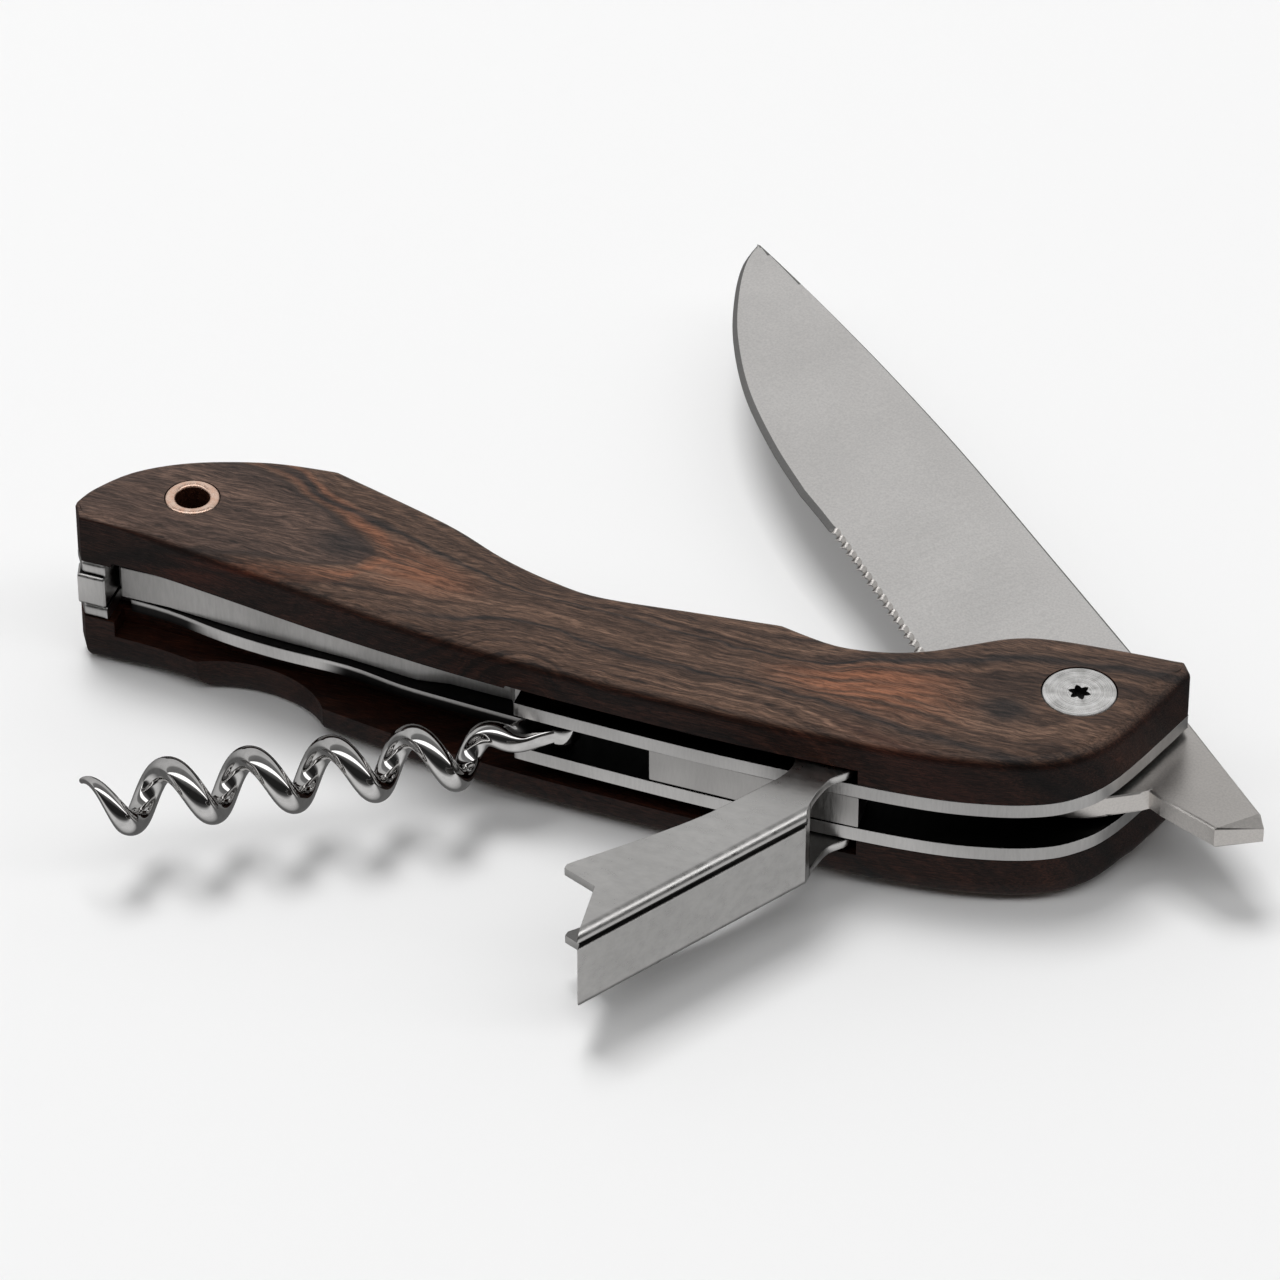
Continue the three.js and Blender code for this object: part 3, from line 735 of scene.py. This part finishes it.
lower = rolled_body("lower_scale_walnut", 0, LOWER_SCALE_HIGH, roll_bottom, False)
over = LOWER_SCALE_HIGH + PAST
carve(lower, [
    bay(BAY_FLOOR, LOWER_LINER[0] - RABBET_HEIGHT, over, SCALE_SET_BACK),
    *lever_relief(LOWER_LINER[0] - RABBET_HEIGHT, over),
    scallop(),
    disc(LANYARD, EYELET_OUTER + FIT, -PAST, over),
    disc(LANYARD, EYELET_FLANGE + SEAT_CLEARANCE, -PAST, FLANGE_THICKNESS),
    disc(BLADE_PIVOT, BARREL_RADIUS + FIT, -PAST, over),
    disc(BLADE_PIVOT, HEAD_RADIUS + SEAT_CLEARANCE, -PAST, HEAD_HEIGHT),
])
finish(shade(lower), "handle", "walnut", WALNUT_LOWER, "lower_scale")

# ---- liners
RIVET_RADIUS = 1.0
RIVETS = ("spring_rivet_rear", "spring_rivet_front", "butt_rivet", "block_rivet")
EDGE_BREAK = 0.14
KNUCKLE_ROUND, PLATE_ROUND = 0.42, 0.03
KNUCKLE_GAP = [(-54.6, -BEYOND), (-52.9, -BEYOND), (-52.9, 3.4), (-54.6, 3.4)]   # between knuckle and bay


def knuckle_plate(name, outline, low, high):
    """A plate whose edge is rounded over at the butt, where the three layers show as a knuckle."""
    points = evenly(outline, 0.4)
    normals = inward(points, 2)
    rings = []
    for turn, top in ((90, 0), (60, 0), (30, 0), (0, 0), (0, 1), (30, 1), (60, 1), (90, 1)):
        ring = []
        for (x, y), (nx, ny) in zip(points, normals):
            round_over = PLATE_ROUND + KNUCKLE_ROUND * smooth_step(-53.6, -55.2, x) * smooth_step(5.5, 3.5, y)
            inset = round_over * (1 - cos(radians(turn)))
            drop = round_over * (1 - sin(radians(turn)))
            ring.append((x + nx * inset, y + ny * inset, high - drop if top else low + drop))
        rings.append(ring)
    return loft(name, rings)


def liner(name, low, high, floor):
    """A liner: the handle's outline with the bay, the knuckle's gap and the fasteners' holes cut out."""
    made = knuckle_plate(name, OUTLINE, low, high)
    under, over = low - PAST, high + PAST
    carve(made, [
        bay(floor, under, over, LINER_SET_BACK),
        plate("cutter", KNUCKLE_GAP, under, over),
        disc(LANYARD, EYELET_OUTER + FIT, under, over),
        disc(BLADE_PIVOT, BARREL_RADIUS + FIT, under, over),
        *(disc(axis_of(rivet), RIVET_RADIUS + FIT, under, over, 32) for rivet in RIVETS),
        *(disc(pivot, PIN_RADIUS + FIT, under, over, 32) for pivot in (WORM_PIVOT, LEVER_PIVOT)),
    ])
    return shade(ease(made, EDGE_BREAK))


finish(liner("upper_liner_steel", *UPPER_LINER, BAY_FLOOR), "handle", "liner_steel", LINER_STEEL,
       "upper_liner")
finish(liner("lower_liner_steel", *LOWER_LINER, LOWER_BAY_FLOOR), "handle", "liner_steel",
       LOWER_LINER_STEEL, "lower_liner")

# ---- between the liners
BUTT_SPACER = [(-58.3, 1.6), (-57.7, -0.3), (-54.7, -0.4), (-54.7, 3.8), (-53.5, 4.8), (-52.9, 6.8),
               (-49.9, 7.6), (-48.4, 9.2), (-48.6, 12.6), (-52, 10.9), (-55, 8.2), (-57.5, 4.7)]
SPRING = [*BAY_FLOOR[:5], (-17, -0.1), (-10.2, -0.4), (-9.4, -1.6), (-8.6, -1.6), (-8.6, 0.3), (-14, 0.8),
          (-21, 1.3), (-29, 3), (-36.5, 5.2), (-44, 5.4), (-51, 5.4), (-52.6, 4.2)]
BLOCK = [(7, -7.6), (18, -7.85), (29.1, -7.75), (28.8, -3.2), (27.6, -2.2), (7, -2.1)]
EYELET_RELIEF = 0.3


def layer(name, outline, holes):
    """A piece of the middle layer, with its (place, radius) holes."""
    made = plate(name, outline, *LAYER)
    carve(made, [disc(at, radius, 0, HANDLE_TOP, 48) for at, radius in holes])
    return shade(ease(made, EDGE_BREAK))


EYELET_HOLE = (LANYARD, EYELET_OUTER + EYELET_RELIEF)
butt_spacer = carve(knuckle_plate("butt_spacer_steel", BUTT_SPACER, *LAYER), [
    disc(axis_of("butt_rivet"), RIVET_RADIUS + FIT, 0, HANDLE_TOP, 48),
    disc(*EYELET_HOLE, 0, HANDLE_TOP, 48)])
finish(shade(butt_spacer), "handle", "liner_steel", LINER_STEEL, "butt_spacer")
finish(layer("back_spring_steel", SPRING, [(axis_of("spring_rivet_rear"), RIVET_RADIUS + FIT),
                                           (axis_of("spring_rivet_front"), RIVET_RADIUS + FIT),
                                           EYELET_HOLE]),
       "handle", "liner_steel", SPRING_STEEL, "back_spring")
finish(layer("spacer_block_steel", BLOCK, [(axis_of("block_rivet"), RIVET_RADIUS + FIT),
                                           (LEVER_PIVOT, PIN_RADIUS + FIT)]),
       "handle", "liner_steel", BLOCK_STEEL, "spacer_block")


# ---- turned pieces
def turned(name, at, profile, steps=96):
    """A body of revolution from (radius, z) points round a closed profile."""
    rings = []
    for step in range(steps):
        a = 2 * pi * step / steps
        rings.append([(at[0] + r * cos(a), at[1] + r * sin(a), z) for r, z in profile])
    made = loft(name, rings, capped=False)
    tidy = bmesh.new()
    tidy.from_mesh(made.data)
    bmesh.ops.remove_doubles(tidy, verts=tidy.verts, dist=1e-7)
    bmesh.ops.recalc_face_normals(tidy, faces=tidy.faces)
    tidy.to_mesh(made.data)
    tidy.free()
    return made


eyelet_top = level("lanyard_eyelet", 1)
eyelet_low = level("lanyard_eyelet", 0)
bead = (EYELET_FLANGE + EYELET_INNER) / 2
bead_radius = (EYELET_FLANGE - EYELET_INNER) / 2
BEAD_RISE, LOW_BEAD_RISE, NECK = 0.32, 0.3, 0.45
half_turn = [pi * step / 10 for step in range(11)]
eyelet_profile = [
    *((bead + bead_radius * cos(a), eyelet_top - BEAD_RISE + BEAD_RISE * sin(a)) for a in half_turn),
    *((bead - bead_radius * cos(a), eyelet_low + LOW_BEAD_RISE - LOW_BEAD_RISE * sin(a)) for a in half_turn),
    (EYELET_OUTER, eyelet_low + NECK), (EYELET_OUTER, eyelet_top - NECK),
]


def eyelet_choice(centre, normal):
    """The bore is painted dark below its rolled rim, as painted shade."""
    inside = (centre.xy - Vector(LANYARD)).length < EYELET_INNER + 0.06
    return 1 if inside and centre.z < eyelet_top - NECK else 0


eyelet = turned("lanyard_eyelet_copper", LANYARD, eyelet_profile)
finish(shade(eyelet), "handle", "copper", COPPER, "lanyard_eyelet")
paint(eyelet, [PAINTED_SHADE_COPPER], eyelet_choice)

SOCKET_OUTER, SOCKET_INNER, SOCKET_DEPTH = 1.2, 0.72, 1.0
STAR_POINTS, STAR_SIDES = 6, 24
DISH, DIMPLE = 0.07, 0.13        # drops of the head's dished face and of the dimple round the socket
HEAD_RIM = [(0, 0.22), (0.08, 0.08), (0.28, 0)]   # (in from the head's side, down from its face)
head_profile = [(0, HEAD_SEAT), (HEAD_RADIUS, HEAD_SEAT),
                *((HEAD_RADIUS - back, HEAD_TOP - drop) for back, drop in HEAD_RIM),
                (HEAD_RADIUS - 0.75, HEAD_TOP - 0.02), (HEAD_RADIUS - 0.85, HEAD_TOP - DISH),
                (SOCKET_OUTER + 0.45, HEAD_TOP - DISH), (SOCKET_OUTER + 0.25, HEAD_TOP - DIMPLE),
                (0, HEAD_TOP - DIMPLE)]
screw = turned("pivot_screw_head", BLADE_PIVOT, head_profile)
star = []
for index in range(STAR_SIDES):
    a = 2 * pi * index / STAR_SIDES
    reach = SOCKET_INNER + (SOCKET_OUTER - SOCKET_INNER) * (0.5 + 0.5 * cos(STAR_POINTS * a))
    star.append((BLADE_PIVOT[0] + reach * cos(a), BLADE_PIVOT[1] + reach * sin(a)))
carve(screw, [plate("cutter", star, HEAD_TOP - SOCKET_DEPTH, HEAD_TOP + PAST)])


def socket_choice(centre, normal):
    """The socket is painted dark inside, as painted shadow."""
    near_axis = (centre.xy - Vector(BLADE_PIVOT)).length < SOCKET_OUTER + 0.05
    return 1 if near_axis and centre.z < HEAD_TOP - DIMPLE - 0.02 else 0


finish(shade(screw, 25), "handle", "screw_steel", SCREW_STEEL, "pivot_screw")
# Painted shadow inside the socket.
paint(screw, [PAINTED_SHADOW_STEEL], socket_choice)

nut_low = level("pivot_nut", 0)
nut_high = level("pivot_nut", 1)
nut_profile = [(0, nut_high), (HEAD_RADIUS, nut_high),
               *((HEAD_RADIUS - back, nut_low + drop) for back, drop in HEAD_RIM), (0, nut_low)]
nut = turned("pivot_nut_head", BLADE_PIVOT, nut_profile)
SLOT_REACH, SLOT_HALF, SLOT_DEPTH = 20, 0.5, 0.6
carve(nut, [plate("cutter", [(BLADE_PIVOT[0] + sx * SLOT_REACH, BLADE_PIVOT[1] + sy * SLOT_HALF)
                             for sx, sy in ((-1, -1), (1, -1), (1, 1), (-1, 1))], -PAST, SLOT_DEPTH)])
finish(shade(nut, 25), "handle", "screw_steel", SCREW_STEEL, "pivot_nut")

# ---- blade, in its own frame: +X to the tip
HALF_BLADE = 1.25
EDGE_CURVE = [*spline([(92.2, -11.3), (89.3, -7.9), (84.3, -4.4), (77.6, -0.9), (68.8, 2.2), (59.3, 4),
                       (51, 4.8)], 8),
              *spline([(51, 4.8), (43, 4.9), (29, 5.8), (17, 6.6)], 8)[1:]]
SPINE_CURVE = spline([(-16.8, -12), (-8, -12.3), (6, -12.8), (29, -13.1), (51, -13.2), (73, -12.4),
                      (92.2, -11.3)], 8)
TANG_CURVE = [(-17.7, -11.4), (-15.9, -6.8), (-14.8, -6.4), (-12.4, -5.4), (-9.5, -4.3), (-7.95, -3.9),
              (-7.9, -3.5), (-7.85, -2.9), (-7.6, -1.9),
              *arc((0, 0), 7, 176, 62, 40), *bend((8.5, 5.6), (11.5, 4.6), (14.5, 6.6)), (17, 6.6)]
SERRATIONS = (17.6, 44.0)
SERRATION_PITCH = 1.32
SERRATION_DEPTH = 0.42
BEVEL_WIDTH = 0.55
EDGE_HALF = 0.06
SHOULDER_HALF = 0.5
GRIND_START, GRIND_WIDTH = 15.0, 15.5
EDGE_FROM = 17         # the edge's outline is used ahead of this, the tang's behind it
TANG_REAR = -16.8
BLADE_TIP, POINT_FROM = 92.2, 82
CORNER_DROP, CORNER_REACH = 0.22, 0.28
ACROSS = [0, 0.02, 0.05, 0.09, 0.14, 0.22, 0.35, 0.52, 0.72, 0.86, 0.95, 0.985, 1]   # rows, edge to spine
BEVEL_ROW, GRIND_ROW = 0.09, 0.3
FLAT = 0.985           # a side whose normal stands up less than this counts as ground
SPINE_SIDE = -9        # ground faces further aside than this are the spine or the point


def blade_columns():
    """x of each column of the blade's grid: close together where the outline turns or is toothed."""
    columns = [x for x, _ in TANG_CURVE if x < SERRATIONS[0]]
    x = SERRATIONS[0]
    while x < SERRATIONS[1]:
        columns.append(x)
        x += SERRATION_PITCH / 16
    columns += [x for x, _ in sorted(EDGE_CURVE) if x > SERRATIONS[1]]
    return sorted(set(round(c, 4) for c in columns))


def scallops(x):
    """0 to 1: how deep the serration is at x. Round hollows meet in points."""
    if not SERRATIONS[0] < x < SERRATIONS[1]:
        return 0.0
    t = ((x - SERRATIONS[0]) / SERRATION_PITCH) % 1.0
    return (1 - (2 * t - 1) ** 2) ** 0.7


def blade_body(name):
    """A grid of columns along the blade, mirrored in its middle plane. Ahead of the tang the sides
    are ground to a shoulder, and from there a narrow bevel runs to the edge."""
    top = []
    for x in blade_columns():
        sharp = smooth_step(GRIND_START, SERRATIONS[0], x)
        edge = height_at(EDGE_CURVE if x > EDGE_FROM else TANG_CURVE, x)
        spine = height_at(SPINE_CURVE, x) if x > TANG_REAR else -12 + (x - TANG_REAR) * (-0.6 / 0.9)
        hollow = scallops(x)
        edge -= SERRATION_DEPTH * hollow
        width = edge - spine
        bevel = (BEVEL_WIDTH - 0.15 * hollow) * sharp
        reach = smooth_step(BLADE_TIP, POINT_FROM, x)
        column = []
        for part in ACROSS:
            away = part * width
            if part <= BEVEL_ROW and sharp > 0.01:
                away = (part / BEVEL_ROW) * min(bevel * 1.05, width * 0.5)
            elif part < GRIND_ROW and sharp > 0.01:
                away = max(away, min(bevel * 1.3, width * 0.6))
            grind = EDGE_HALF + (SHOULDER_HALF - EDGE_HALF) * min(away / max(bevel, 0.01), 1)
            grind += (HALF_BLADE - SHOULDER_HALF) * min(max(away - bevel, 0) / (GRIND_WIDTH - bevel), 1)
            half = HALF_BLADE + (grind - HALF_BLADE) * sharp
            from_spine = width - away
            rounding = CORNER_DROP * (1 - reach) + CORNER_REACH
            if from_spine < rounding:
                half -= CORNER_DROP * (1 - from_spine / rounding) ** 2
            if sharp < 0.99 and away < CORNER_REACH:
                half -= (1 - sharp) * CORNER_DROP * (1 - away / CORNER_REACH) ** 2
            column.append((x, edge - away, half))
        top.append(column)
    count, rows = len(top), len(ACROSS)
    points = [p for column in top for p in column]
    points += [(x, y, -z) for x, y, z in points]
    under = count * rows
    faces = []
    for i in range(count - 1):
        for j in range(rows - 1):
            a, b = i * rows + j, (i + 1) * rows + j
            faces.append([a, b, b + 1, a + 1])
            faces.append([under + a + 1, under + b + 1, under + b, under + a])
    rim = [i * rows for i in range(count)] + [(count - 1) * rows + j for j in range(1, rows)]
    rim += [i * rows + rows - 1 for i in range(count - 2, -1, -1)] + [j for j in range(rows - 2, 0, -1)]
    for a, b in zip(rim, rim[1:] + rim[:1]):
        faces.append([a, b, under + b, under + a])
    return piece_from(name, points, faces)


def blade_choice(centre, normal):
    """Ground faces along the belly, the point and the spine side are painted dark as painted reflection; the
    other ground faces, by the serrations and on the tang, and everything behind the pivot take the slightly
    darker tang steel.
    """
    ahead, aside = in_tool_frame(centre, BLADE_PIVOT, BLADE_ANGLE)
    ground = abs(normal.z) < FLAT
    if ground and ahead > 0 and (ahead > SERRATIONS[1] or aside < SPINE_SIDE):
        return 1
    return 2 if ground or ahead < 0 else 0


blade = blade_body("blade_steel")
carve(blade, [disc((0, 0), BARREL_RADIUS + FIT, -HALF_BLADE - PAST, HALF_BLADE + PAST)])
turn_to(blade, BLADE_PIVOT, BLADE_ANGLE)
finish(shade(blade, 6), "blade", "blade_steel", BLADE_STEEL, "blade")
# The blade's bevel, point and spine carry painted reflection.
paint(blade, [PAINTED_SHADE_STEEL, TANG_STEEL], blade_choice)

# ---- worm, in its own frame: +X to the point
WIRE_RADIUS, HELIX_RADIUS, HELIX_PITCH, HELIX_OFFSET = 1.3, 2.42, 8.24, 2.3
SHANK_LENGTH, HELIX_START, WORM_LENGTH, POINT_LENGTH, CREST_PHASE = 3.0, 12.0, 48.8, 3.8, 4.4
TIP_RADIUS = 0.3
EYE_RADIUS, EYE_HALF = 2.05, 1.0
FLAT_TO, FLAT_FROM = 7.5, 3.2        # the root is fully flattened up to FLAT_FROM and round past FLAT_TO
FLAT_SPREAD, FLAT_SQUARENESS = 0.28, 0.62


def worm_point(along):
    """The wire's middle line: a straight shank that swings out into the helix."""
    growth = smooth_step(SHANK_LENGTH, HELIX_START, along)
    turn = 2 * pi * (along - CREST_PHASE) / HELIX_PITCH
    across = HELIX_OFFSET * smooth_step(0, HELIX_START, along) + growth * HELIX_RADIUS * cos(turn)
    return Vector((along, across, growth * HELIX_RADIUS * sin(turn)))


def worm_wire():
    """Round wire, ground to a point at one end and rolled flat towards the eye at the other."""
    sides, steps = 32, 440
    path = [worm_point(WORM_LENGTH * step / steps) for step in range(steps + 1)]
    rings = []
    for i, centre in enumerate(path):
        ahead = (path[min(i + 1, steps)] - path[max(i - 1, 0)]).normalized()
        side = Vector((0, 0, 1)).cross(ahead).normalized()
        rise = ahead.cross(side)
        ground = min((WORM_LENGTH - centre.x) / POINT_LENGTH, 1.0)
        radius = TIP_RADIUS + (WIRE_RADIUS - TIP_RADIUS) * ground
        flat = smooth_step(FLAT_TO, FLAT_FROM, centre.x)
        wide, high = radius * (1 + FLAT_SPREAD * flat), radius + (EYE_HALF - radius) * flat
        square = 1 - FLAT_SQUARENESS * flat
        ring = []
        for k in range(sides):
            c, s = cos(2 * pi * k / sides), sin(2 * pi * k / sides)
            ring.append(tuple(centre + side * wide * abs(c) ** square * (1 if c > 0 else -1)
                              + rise * high * abs(s) ** square * (1 if s > 0 else -1)))
        rings.append(ring)
    return loft("worm_steel", rings)


worm = worm_wire()
eye_profile = [(0, -EYE_HALF), (EYE_RADIUS - 0.25, -EYE_HALF), (EYE_RADIUS - 0.07, -EYE_HALF + 0.1),
               (EYE_RADIUS, -EYE_HALF + 0.3), (EYE_RADIUS, EYE_HALF - 0.3),
               (EYE_RADIUS - 0.07, EYE_HALF - 0.1), (EYE_RADIUS - 0.25, EYE_HALF), (0, EYE_HALF)]
carve(worm, [turned("cutter", (0, 0), eye_profile, 64)], "UNION")
carve(worm, [disc((0, 0), PIN_RADIUS + FIT, -4, 4, 48)])
turn_to(worm, WORM_PIVOT, WORM_ANGLE)
finish(shade(worm, 40), "worm", "worm_steel", WORM_STEEL, "worm")

# ---- lever, in its own frame: +X to the tip
LEVER_HALF, LEVER_SHEET, LEVER_WEB = 4.9, 1.0, 5.5
OUTER_FOLD, INNER_FOLD = 1.05, 0.4
LEVER_BACK = -5                      # the flanges' far side before they are cut to shape
GROOVE_DEPTH, GROOVE_HEIGHT, GROOVE_LEVEL = 0.55, 0.75, 1.15
GROOVE_CORNER = 0.05
LEVER_PLAN = [
    (36.4, 5.6), (30.4, 0.9), (31, -3.1), *spline([(30.4, -3.4), (21.5, -1.6), (14.5, -0.6), (6, -0.4)]),
    *bend((6, -0.4), (3.6, -0.6), (2.6, -2)), *arc((0, 0), 3.3, -38, -285, 40),
    *spline([(0.854, 3.188), (2.3, 3), (4, 3.5), (5.9, 4.4), (7.6, 5.6)])[1:],
]


def lever_channel():
    """The folded sheet: two flanges, rounded folds, the web and a groove pressed under the upper fold."""
    outer, inner = LEVER_WEB - OUTER_FOLD, LEVER_WEB - LEVER_SHEET - INNER_FOLD
    flange = LEVER_HALF - LEVER_SHEET
    profile = [
        (LEVER_BACK, -LEVER_HALF), *arc((outer, -LEVER_HALF + OUTER_FOLD), OUTER_FOLD, -90, 0, 14),
        *groove(LEVER_HALF - GROOVE_LEVEL - GROOVE_HEIGHT),
        *arc((outer, LEVER_HALF - OUTER_FOLD), OUTER_FOLD, 0, 90, 14), (LEVER_BACK, LEVER_HALF),
        (LEVER_BACK, flange), *arc((inner, flange - INNER_FOLD), INNER_FOLD, 90, 0, 6),
        *arc((inner, INNER_FOLD - flange), INNER_FOLD, 0, -90, 6), (LEVER_BACK, -flange),
    ]
    return loft("lever_steel", [[(x, y, z) for y, z in profile] for x in (-12, 45)])


def groove(low):
    """The groove's outline in (y, z), from its lower edge up."""
    wall, bottom = LEVER_WEB - GROOVE_DEPTH * 0.8, LEVER_WEB - GROOVE_DEPTH
    high = low + GROOVE_HEIGHT
    return [(LEVER_WEB, low), (wall, low + GROOVE_CORNER), (bottom, (low + high) / 2),
            (wall, high - GROOVE_CORNER), (LEVER_WEB, high)]


def lever_choice(centre, normal):
    """The channel's inside is painted dark and the groove near black, both as painted shade."""
    aside = in_tool_frame(centre, LEVER_PIVOT, LEVER_ANGLE)[1]
    height = abs(centre.z - MIDDLE)
    if aside < LEVER_WEB - LEVER_SHEET + 0.02 and height < LEVER_HALF - LEVER_SHEET + 0.02:
        return 1
    beside_groove = -GROOVE_HEIGHT < height - LEVER_HALF + GROOVE_LEVEL < 0
    return 2 if aside < LEVER_WEB - 0.2 and beside_groove else 0


lever = carve(lever_channel(), [plate("cutter", LEVER_PLAN, -2 * LEVER_HALF, 2 * LEVER_HALF)], "INTERSECT")
carve(lever, [disc((0, 0), PIN_RADIUS + FIT, -2 * LEVER_HALF, 2 * LEVER_HALF, 48)])
ease(lever, 0.11, 50)
turn_to(lever, LEVER_PIVOT, LEVER_ANGLE)
finish(shade(lever, 30), "lever", "lever_steel", LEVER_STEEL, "lever")
# Painted shade inside the channel and in the groove.
paint(lever, [PAINTED_SHADE_STEEL, PAINTED_SHADOW_STEEL], lever_choice)

# ---- carried-over CAD nodes
for name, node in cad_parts.items():
    if node.hide_render:
        continue
    # The nodes left showing are painted near black, as painted shadow.
    node.data.materials.clear()
    node.data.materials.append(PAINTED_SHADOW_STEEL)

# ---- floor and light
bpy.ops.mesh.primitive_plane_add(size=6)
floor = bpy.context.object
floor.name = "floor"
paper = Nodes(bpy.data.materials.new("paper"))
floor.data.materials.append(
    paper.set(Base_Color=colour(0.86, 0.86, 0.86), Roughness=0.9, Specular_IOR_Level=0.1))


def softbox(name, away, elevation, side, power, width, depth):
    """An area light aimed at the object. side is its azimuth from the far side, in degrees. Metal
    doesn't mirror it, so the steel shows only the surroundings."""
    data = bpy.data.lights.new(name, "AREA")
    data.shape = "RECTANGLE"
    data.size, data.size_y = width, depth
    data.energy = power
    box = bpy.data.objects.new(name, data)
    out = direction(elevation, side)
    box.location = out * away
    box.rotation_euler = (-out).to_track_quat("-Z", "Y").to_euler()
    box.visible_glossy = False
    bpy.context.scene.collection.objects.link(box)


def direction(elevation, side):
    """Unit vector at an elevation, side degrees round from the far side."""
    bearing, height = AZIMUTH + radians(side), radians(elevation)
    return Vector((-sin(bearing) * cos(height), cos(bearing) * cos(height), sin(height)))


# The surroundings' light, by the angle in degrees above the far horizon, over the zenith and down the
# near side: an even far wall, a light strip just past the zenith, a dark near side and a grey lower part.
SKY = [(-180, 0.02), (-165, 0.10), (-150, 0.68), (-125, 0.70), (-110, 0.56), (-98, 0.38), (-86, 0.14),
       (-30, 0.14), (0, 0.45), (40, 0.55), (58, 0.55), (66, 0.22), (96, 0.14), (100, 2.0), (117, 2.0),
       (121, 0.16), (145, 0.02), (180, 0.02)]
SKY_PEAK = 2.0


def studio():
    """The surroundings: the SKY bands, which run from side to side."""
    world = bpy.data.worlds.new("studio")
    n = Nodes(world)
    where = n.add("TexCoord").outputs["Generated"]
    up, far = (n.add("VectorMath", {0: where, 1: axis}, operation="DOT_PRODUCT").outputs["Value"]
               for axis in (direction(90, 0), direction(0, 0)))
    share = n.add("MapRange", {0: n.math("ARCTAN2", up, far), 1: -pi, 2: pi}).outputs[0]
    light = n.ramp(share, [((degree + 180) / 360, [strength / SKY_PEAK] * 3) for degree, strength in SKY])
    background = n.tree.nodes["Background"]
    n.feed(background.inputs["Strength"], n.times(light, SKY_PEAK))
    n.feed(background.inputs["Color"], colour(1, 1, 1))
    bpy.context.scene.world = world


softbox("key", 2.5, 72, 28, 36.0, 1.1, 1.0)
studio()
floor.visible_glossy = False
bpy.context.scene.view_settings.view_transform = "Standard"
